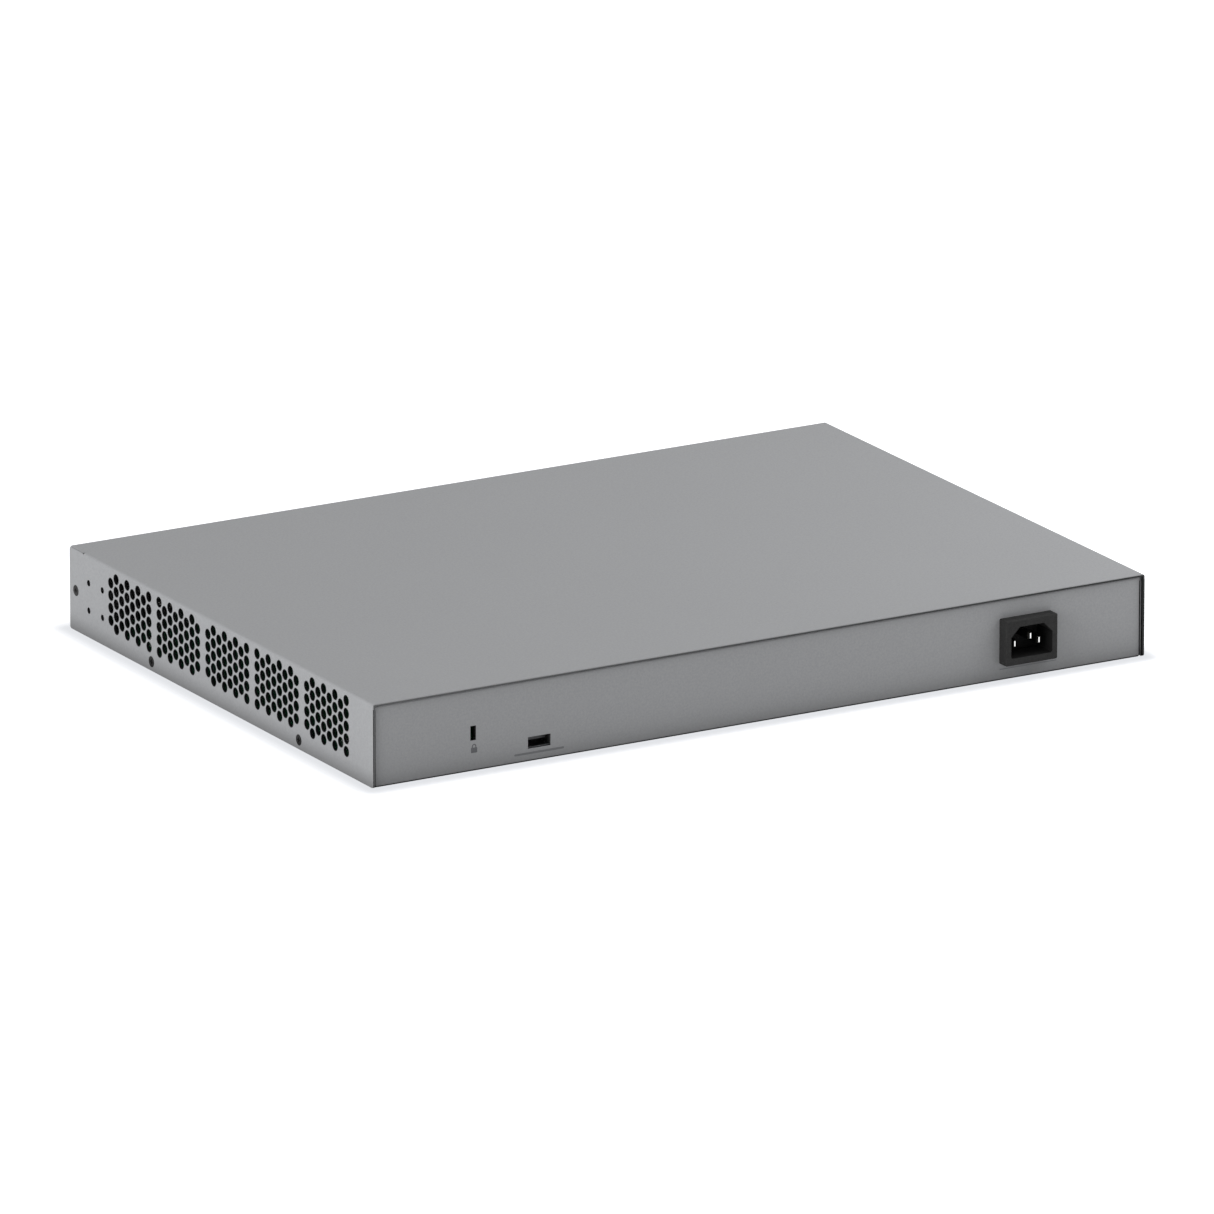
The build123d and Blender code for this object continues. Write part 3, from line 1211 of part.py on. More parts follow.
# ---- Build ----
def main():
    os.makedirs("parts", exist_ok=True)
    save("top_cover", make_cover())
    save("base_pan", make_base())
    save("front_panel", make_front_panel())
    save("front_bezel", make_bezel())
    save("cover_screws", *make_cover_screws())
    under_screw = FROM_BELOW * flat_screw(UNDER_HEAD)
    save("underside_screws", *[Pos(x, y, 0) * under_screw for x, y in under_fixings()])
    save("lock_plate", make_lock_plate())
    save("board_standoffs", *make_standoffs())
    save("board_screws", *[Pos(x, y, BOARD_TOP) * pan_screw(BOARD_SCREW) for x, y in board_fixings()])
    save("main_board", make_main_board())
    save("supply_board", make_supply_board())
    save("supply_insulator", make_insulator())

    for side, middle in JACK_BLOCKS.items():
        save(f"jack_housing_{side}", make_jack_housing(middle))
        save(f"jack_shield_{side}", make_jack_shield(middle))
    save("jack_contacts", *[wire for middle in JACK_BLOCKS.values() for wire in make_contacts(middle)])
    save("jack_lenses", *make_lenses())
    save("transceiver_cage", make_cage())
    save("transceiver_sockets", *make_cage_sockets())

    save("light_pipe", make_light_pipe())
    save("status_lamps", *make_lamps())
    mode_back = switch_front(MODE_TRAVEL) - NOSE_GAP
    reset_back = switch_front(RESET_TRAVEL) - NOSE_GAP
    reset_tip = BEZEL_Y + BEZEL_THICK - RESET_WELL + SHEET_GAP
    save("mode_button", make_button(MODE_X, MODE_RADIUS, BEZEL_Y - MODE_PROUD, mode_back))
    save("reset_button", make_button(RESET_X, RESET_PLUNGER, reset_tip, reset_back))
    save("control_switches", make_switch(MODE_X, MODE_TRAVEL), make_switch(RESET_X, RESET_TRAVEL))

    save("usb_shell", make_usb_shell())
    save("usb_insert", make_usb_insert())
    save("inlet_housing", make_inlet())
    save("inlet_pins", *make_pins())
    save("inlet_boots", *make_boots())
    save("live_leads", *make_live_leads())
    save("earth_lead", make_earth_lead())
    save("earth_lug", make_earth_lug())
    save("earth_stud", make_earth_stud())

    save("supply_sockets", *make_supply_sockets())
    save("supply_harness", *make_harness())
    save("transformer_core", make_transformer_core())
    save("transformer_coil", make_transformer_coil())
    cans = [can(x, y, BULK_CAP) for x, y in BULK_CAPS] + [can(x, y, OUT_CAP) for x, y in OUT_CAPS]
    save("supply_capacitors", *cans)
    save("supply_heat_bars", *[standing(x, SINK_BAR_Y, SINK_BAR) for x in SINK_BARS])
    save("power_transistors", *make_transistors())
    save("mains_choke", *make_choke())
    save("mains_fuse", make_fuse())

    chips = [standing(*SWITCH_CHIP, SWITCH_CHIP_SIZE), standing(*CPU_PLACE, CPU_SIZE)]
    chips += [standing(x, y, MEMORY_SIZE) for x, y in MEMORY_PLACES]
    save("main_chips", *chips)
    save("port_chips", *[standing(x, y, PHY_SIZE) for x, y in PHY_PLACES])
    large = fins(*SWITCH_CHIP, SWITCH_SINK, SWITCH_FINS, BOARD_TOP + SWITCH_CHIP_SIZE[2], FIN_BASE[0])
    small = [fins(x, y, PHY_SINK, PHY_FINS, BOARD_TOP + PHY_SIZE[2], FIN_BASE[1]) for x, y in PHY_PLACES]
    save("switch_heatsink", large)
    save("port_heatsinks", *small)
    save("board_capacitors", *make_board_cans())
    save("board_coils", *make_board_coils())
    save("board_sockets", *make_board_sockets())

    save("fan_bracket", make_fan_bracket())
    frame = make_fan_frame()
    rotor = make_fan_rotor()
    core = make_fan_core()
    for number, y in enumerate(FAN_YS, 1):
        save(f"fan_frame_{number}", on_side(frame, y))
        save(f"fan_rotor_{number}", on_side(rotor, y))
    save("fan_cores", *[on_side(core, y) for y in FAN_YS])
    save("fan_screws", *make_fan_screws())
    save("fan_leads", *make_fan_leads())


main()
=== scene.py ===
import math

import bpy
import numpy as np
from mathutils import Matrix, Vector


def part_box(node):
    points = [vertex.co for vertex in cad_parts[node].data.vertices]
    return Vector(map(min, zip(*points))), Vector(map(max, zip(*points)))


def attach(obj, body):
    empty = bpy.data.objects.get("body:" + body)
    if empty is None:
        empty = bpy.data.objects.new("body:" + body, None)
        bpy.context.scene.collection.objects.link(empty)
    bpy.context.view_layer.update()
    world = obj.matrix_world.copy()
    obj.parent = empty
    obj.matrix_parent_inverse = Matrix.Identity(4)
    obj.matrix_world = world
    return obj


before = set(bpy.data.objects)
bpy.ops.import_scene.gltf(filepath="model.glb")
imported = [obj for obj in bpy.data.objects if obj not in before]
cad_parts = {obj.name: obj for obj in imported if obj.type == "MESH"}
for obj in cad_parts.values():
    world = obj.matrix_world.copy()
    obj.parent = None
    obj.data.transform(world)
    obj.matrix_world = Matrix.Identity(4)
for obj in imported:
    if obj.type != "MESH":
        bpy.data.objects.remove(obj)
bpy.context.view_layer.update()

millimetre = 0.001
plasticIor = 1.5                  # plastics, paint, ink, resin and glass alike
noiseSpread = {1: 0.3, 2: 0.7}    # a map range's lowest and highest value in, for those of a noise
fineNoise = {"Detail": 3.0, "Roughness": 0.6}    # for the noises that draw a grain or a mottle
print("stage: frame loaded", len(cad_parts), "nodes")


def linear(hexColour):
    # sRGB hex to linear red, green, blue and alpha
    parts = [int(hexColour[i:i + 2], 16) / 255 for i in (1, 3, 5)]
    return [c / 12.92 if c <= 0.04045 else ((c + 0.055) / 1.055) ** 2.4 for c in parts] + [1.0]


def addNode(tree, kind, settings=None, links=None):
    # One node. Each setting goes on the node or on an input, and each link feeds an input. A number
    # is an input's place: 6 and 7 are the two colours of a mix, and a map range turns 1 and 2 into
    # 3 and 4. "stops" are a ramp's two (position, hex colour) pairs. Any hex colour is made linear.
    node = tree.nodes.new(kind)
    for key, value in (settings or {}).items():
        if key == "stops":
            ramp = node.color_ramp.elements
            for element, (position, colour) in zip(ramp, value):
                element.position, element.color = position, linear(colour)
            continue
        if isinstance(value, str) and value.startswith("#"):
            value = linear(value)
        if isinstance(key, str) and hasattr(node, key):
            setattr(node, key, value)
        else:
            node.inputs[key].default_value = value
    for key, source in (links or {}).items():
        tree.links.new(source, node.inputs[key])
    return node


def emptyMaterial(name):
    # a material with nothing in its tree but the object's own coordinates, which are in metres
    material = bpy.data.materials.new(name)
    material.use_nodes = True
    material.node_tree.nodes.clear()
    place = addNode(material.node_tree, "ShaderNodeTexCoord").outputs["Object"]
    return material, material.node_tree, place


def perMillimetre(size):
    # texture scale that makes features about this many millimetres across
    return 1.0 / (size * millimetre)


def dress(material, *nodes):
    # gives CAD nodes a better material through their objects' own slots
    for node in nodes:
        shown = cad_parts[node]
        if not shown.material_slots:
            shown.data.materials.append(material)
        for slot in shown.material_slots:
            slot.link = "OBJECT"
            slot.material = material


# Case: polyester powder coat on sheet steel, satin grey with a fine orange peel from the melted
# powder. Painted shade: the walls of the punched holes, the vent rims and the recess round the rear
# wall are painted near black, and the sides are painted darker towards their foot. The cut ends of
# the cover, except where the coat wraps round their outer edge, are painted dark, partly as bare
# cut steel and partly as painted shade, darkest at -X. Sizes in mm.
caseLook = {
    "colour": "#97989a",
    "fleck": "#8f9092",
    "paintedFootShade": "#6c6c6d",     # painted shade along the foot of both sides, darker towards the bottom
    "cutNear": "#5a5b5c",   # the cut end at +X: bare cut steel with a little painted shade
    "cutFar": "#181919",    # the cut end at -X, painted darker as the deeper shade there
    "paintedShade": "#070708",      # painted shade in the hole walls, vent rims, and the recess round the rear wall
    "roughness": 0.56,
    "roughnessPatches": 0.01,
    "specular": 0.25,
    "fleckSize": 1.05,
    "fleckRange": (0.35, 0.7),    # where in its noise a fleck starts, and where it is full
    "peelSize": 1.5,        # the real peel is about 0.6, too fine to show
    "peelHeight": 0.010,
    "cloudSize": 60.0,
    "endBand": 0.3,         # how far the dark goes along the sheet from a cut end
    "wrap": 0.4,            # coat that wraps round the outer edge of a cut end
    "holeBand": 0.05,       # coat left on each face of the sheet at a hole
    "belowTop": 2.2,        # how far below the top hole walls start, in thicknesses of the sheet
    "recess": 1.5,          # how deep the recess is, painted shade all round its rim
    "recessInset": 0.95,    # how far in from the outer faces it starts, in thicknesses
    "foot": (1.0, 9.0),     # where the painted shade starts to fade, and where it ends
    "footShare": 0.55,      # how much painted shade there is at the foot
}

# The coated pieces: the thickness of their sheet in mm, the axis that their holes are punched
# along, and whether they have the vents and the cut ends
coatedPieces = {
    "powderCoatedCover": {"node": "top_cover", "sheet": 1.2, "punched": "X", "vented": True},
    "powderCoatedBase": {"node": "base_pan", "sheet": 1.0, "punched": "Y", "vented": False},
}

# Side vents: groups of 8 columns of round holes, with 5 and 4 rows by turns. Each rim is painted
# as dark as the hole, as painted shade. Sizes in mm.
ventLook = {
    "middle": (8.2, 25.2),      # centre of the middle group, along Y and Z
    "groupPitch": 50.2,
    "columnPitch": 5.65,
    "rowPitch": 6.5,
    "groupsOut": (2, 1),        # groups each way from the middle one, at +X and at -X
    "columns": (-3, 4),         # first and last, counted from the one before the group's middle
    "rows": (-2, 2),            # first and last, in the columns of 5
    "radius": 2.5,
    "rim": 0.32,
    "fade": 0.1,
}


def holeWalls(tree, axes, piece, look):
    # between the two faces of the sheet, and below the fold along its top
    sheet = piece["sheet"]
    between = addNode(tree, "ShaderNodeMath",
                      {"operation": "COMPARE", 1: -sheet / 2 * millimetre,
                       2: (sheet / 2 - look["holeBand"]) * millimetre}, {0: axes[piece["punched"]]})
    below = addNode(tree, "ShaderNodeMath",
                    {"operation": "LESS_THAN", 1: -look["belowTop"] * sheet * millimetre},
                    {0: axes["Z"]})
    return addNode(tree, "ShaderNodeMath", {"operation": "MULTIPLY"},
                   {0: between.outputs[0], 1: below.outputs[0]}).outputs[0]


def ventRims(tree, place, look):
    # 1 inside the outer edge of a hole's rim. The nearest hole's group, column and row are found by
    # rounding, each kept to those there are, and then the distance from its centre
    at = addNode(tree, "ShaderNodeSeparateXYZ", None, {0: place}).outputs
    middleY, middleZ = [value * millimetre for value in look["middle"]]
    most, fewest = look["groupsOut"]
    right = addNode(tree, "ShaderNodeMath", {"operation": "GREATER_THAN", 1: 0.0}, {0: at["X"]})
    limit = addNode(tree, "ShaderNodeMapRange", {3: fewest, 4: most}, {0: right.outputs[0]})
    lowest = addNode(tree, "ShaderNodeMath", {"operation": "MULTIPLY", 1: -1.0},
                     {0: limit.outputs[0]})

    along = addNode(tree, "ShaderNodeMath", {"operation": "SUBTRACT", 1: middleY}, {0: at["Y"]})
    groups = addNode(tree, "ShaderNodeMath",
                     {"operation": "DIVIDE", 1: look["groupPitch"] * millimetre},
                     {0: along.outputs[0]})
    nearest = addNode(tree, "ShaderNodeMath", {"operation": "ROUND"}, {0: groups.outputs[0]})
    group = addNode(tree, "ShaderNodeClamp", None,
                    {0: nearest.outputs[0], 1: lowest.outputs[0], 2: limit.outputs[0]})

    # the middle of a group lies half a pitch from the columns next to it
    inGroup = addNode(tree, "ShaderNodeMath",
                      {"operation": "MULTIPLY_ADD", 1: -look["groupPitch"] * millimetre},
                      {0: group.outputs[0], 2: along.outputs[0]})
    columns = addNode(tree, "ShaderNodeMath",
                      {"operation": "MULTIPLY_ADD", 1: perMillimetre(look["columnPitch"]), 2: 0.5},
                      {0: inGroup.outputs[0]})
    nearest = addNode(tree, "ShaderNodeMath", {"operation": "ROUND"}, {0: columns.outputs[0]})
    column = addNode(tree, "ShaderNodeClamp", {1: look["columns"][0], 2: look["columns"][1]},
                     {0: nearest.outputs[0]})

    # 1 in the columns of 4 holes, which are half a pitch out of step
    count = addNode(tree, "ShaderNodeMath", {"operation": "ADD"},
                    {0: column.outputs[0], 1: group.outputs[0]})
    short = addNode(tree, "ShaderNodeMath", {"operation": "PINGPONG", 1: 1.0},
                    {0: count.outputs[0]})
    step = addNode(tree, "ShaderNodeMath", {"operation": "MULTIPLY", 1: 0.5},
                   {0: short.outputs[0]})
    up = addNode(tree, "ShaderNodeMath", {"operation": "SUBTRACT", 1: middleZ}, {0: at["Z"]})
    rows = addNode(tree, "ShaderNodeMath",
                   {"operation": "MULTIPLY_ADD", 1: perMillimetre(look["rowPitch"])},
                   {0: up.outputs[0], 2: step.outputs[0]})
    nearest = addNode(tree, "ShaderNodeMath", {"operation": "ROUND"}, {0: rows.outputs[0]})
    first = addNode(tree, "ShaderNodeMath", {"operation": "ADD", 1: look["rows"][0]},
                    {0: short.outputs[0]})
    row = addNode(tree, "ShaderNodeClamp", {2: look["rows"][1]},
                  {0: nearest.outputs[0], 1: first.outputs[0]})

    aside = addNode(tree, "ShaderNodeMath", {"operation": "SUBTRACT"},
                    {0: columns.outputs[0], 1: column.outputs[0]})
    above = addNode(tree, "ShaderNodeMath", {"operation": "SUBTRACT"},
                    {0: rows.outputs[0], 1: row.outputs[0]})
    both = addNode(tree, "ShaderNodeCombineXYZ", None, {0: aside.outputs[0], 1: above.outputs[0]})
    scaled = addNode(tree, "ShaderNodeVectorMath",
                     {"operation": "MULTIPLY", 1: (look["columnPitch"], look["rowPitch"], 0)},
                     {0: both.outputs[0]})
    distance = addNode(tree, "ShaderNodeVectorMath", {"operation": "LENGTH"},
                       {0: scaled.outputs[0]})
    edge = look["radius"] + look["rim"]
    return addNode(tree, "ShaderNodeMapRange", {1: edge, 2: edge - look["fade"]},
                   {0: distance.outputs["Value"]}).outputs[0]


def endMask(tree, axes, alongY, inward):
    # 1 within alongY of the ends along Y, and more than inward inside the top and side faces
    outer = addNode(tree, "ShaderNodeMath", {"operation": "MAXIMUM"}, {0: axes["X"], 1: axes["Z"]})
    end = addNode(tree, "ShaderNodeMath", {"operation": "GREATER_THAN", 1: -alongY * millimetre},
                  {0: axes["Y"]})
    inside = addNode(tree, "ShaderNodeMath", {"operation": "LESS_THAN", 1: -inward * millimetre},
                     {0: outer.outputs[0]})
    return addNode(tree, "ShaderNodeMath", {"operation": "MULTIPLY"},
                   {0: end.outputs[0], 1: inside.outputs[0]}).outputs[0]


def powderCoat(name, piece, look):
    node, sheet = piece["node"], piece["sheet"]
    material, tree, place = emptyMaterial(name)
    fleck = addNode(tree, "ShaderNodeTexNoise",
                    {"Scale": perMillimetre(look["fleckSize"]), "Detail": 3.0, "Roughness": 0.65},
                    {"Vector": place})
    blend = addNode(tree, "ShaderNodeMapRange",
                    {1: look["fleckRange"][0], 2: look["fleckRange"][1]}, {0: fleck.outputs[0]})
    paint = addNode(tree, "ShaderNodeMix",
                    {"data_type": "RGBA", 6: look["colour"], 7: look["fleck"]},
                    {0: blend.outputs[0]})

    # how far a point is beyond the node's box along each axis: 0 on its outer faces, less inside
    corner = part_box(node)[1]
    reach = addNode(tree, "ShaderNodeVectorMath", {"operation": "ABSOLUTE"}, {0: place})
    beyond = addNode(tree, "ShaderNodeVectorMath", {"operation": "SUBTRACT", 1: tuple(corner)},
                     {0: reach.outputs[0]})
    axes = addNode(tree, "ShaderNodeSeparateXYZ", None, {0: beyond.outputs[0]}).outputs
    # painted shade: the walls of the holes are painted near black
    paint = addNode(tree, "ShaderNodeMix", {"data_type": "RGBA", 7: look["paintedShade"]},
                    {0: holeWalls(tree, axes, piece, look), 6: paint.outputs[2]})

    if piece["vented"]:
        # painted shade in turn: the vent rims, darker towards the sides' foot, the cut ends, the
        # recess
        paint = addNode(tree, "ShaderNodeMix", {"data_type": "RGBA", 7: look["paintedShade"]},
                        {0: ventRims(tree, place, ventLook), 6: paint.outputs[2]})
        at = addNode(tree, "ShaderNodeSeparateXYZ", None, {0: place}).outputs
        low, high = [height * millimetre for height in look["foot"]]
        foot = addNode(tree, "ShaderNodeMapRange", {1: high, 2: low, 4: look["footShare"]},
                       {0: at["Z"]})
        paint = addNode(tree, "ShaderNodeMix", {"data_type": "RGBA", 7: look["paintedFootShade"]},
                        {0: foot.outputs[0], 6: paint.outputs[2]})
        # the cut ends: bare steel and painted shade, painted darker towards -X
        lean = addNode(tree, "ShaderNodeMapRange", {1: -corner.x, 2: corner.x}, {0: at["X"]})
        thin = addNode(tree, "ShaderNodeMix",
                       {"data_type": "RGBA", 6: look["cutFar"], 7: look["cutNear"]},
                       {0: lean.outputs[0]})
        cut = endMask(tree, axes, look["endBand"], look["wrap"])
        paint = addNode(tree, "ShaderNodeMix", {"data_type": "RGBA"},
                        {0: cut, 6: paint.outputs[2], 7: thin.outputs[2]})
        # painted shade on the inner faces in the recess round the rear wall
        recess = endMask(tree, axes, look["recess"], look["recessInset"] * sheet)
        paint = addNode(tree, "ShaderNodeMix", {"data_type": "RGBA", 7: look["paintedShade"]},
                        {0: recess, 6: paint.outputs[2]})

    cloud = addNode(tree, "ShaderNodeTexNoise",
                    {"Scale": perMillimetre(look["cloudSize"]), "Detail": 1.0}, {"Vector": place})
    sheen = addNode(tree, "ShaderNodeMapRange",
                    {**noiseSpread, 3: look["roughness"] - look["roughnessPatches"],
                     4: look["roughness"] + look["roughnessPatches"]}, {0: cloud.outputs[0]})
    peel = addNode(tree, "ShaderNodeTexNoise", {"Scale": perMillimetre(look["peelSize"])},
                   {"Vector": place})
    relief = addNode(tree, "ShaderNodeBump", {"Distance": look["peelHeight"] * millimetre},
                     {"Height": peel.outputs[0]})
    shader = addNode(tree, "ShaderNodeBsdfPrincipled",
                     {"IOR": plasticIor, "Specular IOR Level": look["specular"]},
                     {"Base Color": paint.outputs[2], "Roughness": sheen.outputs[0],
                      "Normal": relief.outputs[0]})
    addNode(tree, "ShaderNodeOutputMaterial", None, {"Surface": shader.outputs[0]})
    return material


for finish, piece in coatedPieces.items():
    dress(powderCoat(finish, piece, caseLook), piece["node"])
print("stage: case coated")


# Metal left bare. Each finish: its two tones, its roughness, the width of its grain in mm, and how
# much the grain is squeezed along each axis, so that it runs in streaks along the smallest.
metalLooks = {
    "zincPlatedSheet": {     # pale blue-grey plating with a faint rolled grain along X
        "nodes": ("front_panel",),
        "light": "#aeb1b3", "dark": "#94989b", "roughness": 0.45,
        "grain": 0.35, "along": (0.05, 1, 1),
    },
    "blackZincSheet": {      # zinc passivated black, and dark as painted shade behind the vents, so the bracket doesn't show through them
        "nodes": ("fan_bracket",),
        "light": "#343536", "dark": "#252627", "roughness": 0.5,
        "grain": 0.35, "along": (1, 1, 0.05),
    },
    "tinPlatedCan": {        # brighter, smoother tin with faint handling marks
        "nodes": ("jack_shield_left", "jack_shield_right", "transceiver_cage"),
        "light": "#d6d5d0", "dark": "#bdbcb7", "roughness": 0.28,
        "grain": 0.6, "along": (1, 0.1, 1),
    },
    "nickelPlatedBrass": {   # bright slightly warm nickel, drawn lengthwise
        "nodes": ("earth_lug",),
        "light": "#e0deda", "dark": "#cdcac4", "roughness": 0.25,
        "grain": 0.25, "along": (1, 0.08, 1),
    },
    "turnedPlatedSteel": {   # turned or rolled fixings with bright plating
        "nodes": ("board_standoffs", "board_screws", "fan_screws", "earth_stud"),
        "light": "#cfd0cd", "dark": "#b5b7b5", "roughness": 0.3,
        "grain": 0.2, "along": (1, 1, 0.2),
    },
    "goldFlashedBronze": {   # thin gold over nickel on spring wire
        "nodes": ("jack_contacts",),
        "light": "#e8c877", "dark": "#cfa955", "roughness": 0.25,
        "grain": 0.2, "along": (1, 0.1, 1),
    },
    "extrudedAluminium": {   # die lines along the extrusion
        "nodes": ("supply_heat_bars",),
        "light": "#c4c5c7", "dark": "#a9abad", "roughness": 0.35,
        "grain": 0.3, "along": (1, 0.04, 1),
    },
    "blackOxideSteel": {     # black, and a little brown where the light catches it
        # the lock plate's black is also painted shade inside the lock slot
        "nodes": ("cover_screws", "underside_screws", "lock_plate"),
        "light": "#2f2e2d", "dark": "#1a1a1a", "roughness": 0.45,
        "grain": 0.4, "along": (1, 1, 1),
    },
    "portShellShadedNickel": {        # nickel on the data port's shell, darkened as painted shade inside the port
        "nodes": ("usb_shell",),
        "light": "#8c8d8f", "dark": "#707274", "roughness": 0.35,
        "grain": 0.5, "along": (1, 0.1, 1),
    },
    "varnishedLaminations": {    # stacked core plates under brown varnish
        "nodes": ("fan_cores",),
        "light": "#7a5a48", "dark": "#4e3a30", "roughness": 0.45,
        "grain": 0.35, "along": (3, 0.05, 0.05),
    },
}

# What the metals share: where the grain's noise is dark and where light, how high the grain stands,
# and smears about a finger wide, which change the gloss and not the colour. Sizes in mm.
grainLook = {"tones": (0.3, 0.7), "height": 0.004, "smearSize": 14.0, "smearGloss": (-0.06, 0.08)}


def bareMetal(name, look, shared):
    material, tree, place = emptyMaterial(name)
    streaks = addNode(tree, "ShaderNodeMapping", {"Scale": look["along"]}, {"Vector": place})
    grain = addNode(tree, "ShaderNodeTexNoise",
                    {**fineNoise, "Scale": perMillimetre(look["grain"])},
                    {"Vector": streaks.outputs[0]})
    tone = addNode(tree, "ShaderNodeValToRGB",
                   {"stops": zip(shared["tones"], (look["dark"], look["light"]))},
                   {"Fac": grain.outputs[0]})
    smear = addNode(tree, "ShaderNodeTexNoise", {"Scale": perMillimetre(shared["smearSize"])},
                    {"Vector": place})
    glossy, dull = [look["roughness"] + change for change in shared["smearGloss"]]
    gloss = addNode(tree, "ShaderNodeMapRange", {**noiseSpread, 3: glossy, 4: dull},
                    {0: smear.outputs[0]})
    relief = addNode(tree, "ShaderNodeBump", {"Distance": shared["height"] * millimetre},
                     {"Height": grain.outputs[0]})
    shader = addNode(tree, "ShaderNodeBsdfPrincipled", {"Metallic": 1.0},
                     {"Base Color": tone.outputs[0], "Roughness": gloss.outputs[0],
                      "Normal": relief.outputs[0]})
    addNode(tree, "ShaderNodeOutputMaterial", None, {"Surface": shader.outputs[0]})
    return material


for finish, look in metalLooks.items():
    dress(bareMetal(finish, look, grainLook), *look["nodes"])

# Inlet pins: nickel-plated brass, bright on the flat tips, with painted shade on the shanks: faces
# are darker the less they point to the rear. Sizes in mm.
pinLook = {
    "tip": "#e8e8e6",
    # painted shade on the shanks
    "shank": "#33322f",
    "facing": (0.75, 0.95),     # how far to the rear a face points: all shank, and all tip
    "grain": 0.3,
    "grainBite": 0.15,          # how far the grain eats into the polish
    "roughness": (0.25, 0.45),
}


def wornPins(look):
    material, tree, place = emptyMaterial("nickelPinsShadedShanks")
    facing = addNode(tree, "ShaderNodeSeparateXYZ", None,
                     {0: addNode(tree, "ShaderNodeNewGeometry").outputs["True Normal"]})
    shank = addNode(tree, "ShaderNodeMapRange", {1: look["facing"][1], 2: look["facing"][0]},
                    {0: facing.outputs["Y"]})
    grain = addNode(tree, "ShaderNodeTexNoise",
                    {"Scale": perMillimetre(look["grain"]), "Detail": 2.0}, {"Vector": place})
    # painted shade: 1 on faces that point away from the rear, with a little grain
    wearAndShade = addNode(tree, "ShaderNodeMath",
                   {"operation": "MULTIPLY_ADD", 1: look["grainBite"], "use_clamp": True},
                   {0: grain.outputs[0], 2: shank.outputs[0]})
    tone = addNode(tree, "ShaderNodeMix",
                   {"data_type": "RGBA", 6: look["tip"], 7: look["shank"]}, {0: wearAndShade.outputs[0]})
    gloss = addNode(tree, "ShaderNodeMapRange",
                    {3: look["roughness"][0], 4: look["roughness"][1]}, {0: wearAndShade.outputs[0]})
    shader = addNode(tree, "ShaderNodeBsdfPrincipled", {"Metallic": 1.0},
                     {"Base Color": tone.outputs[2], "Roughness": gloss.outputs[0]})
    addNode(tree, "ShaderNodeOutputMaterial", None, {"Surface": shader.outputs[0]})
    return material


dress(wornPins(pinLook), "inlet_pins")


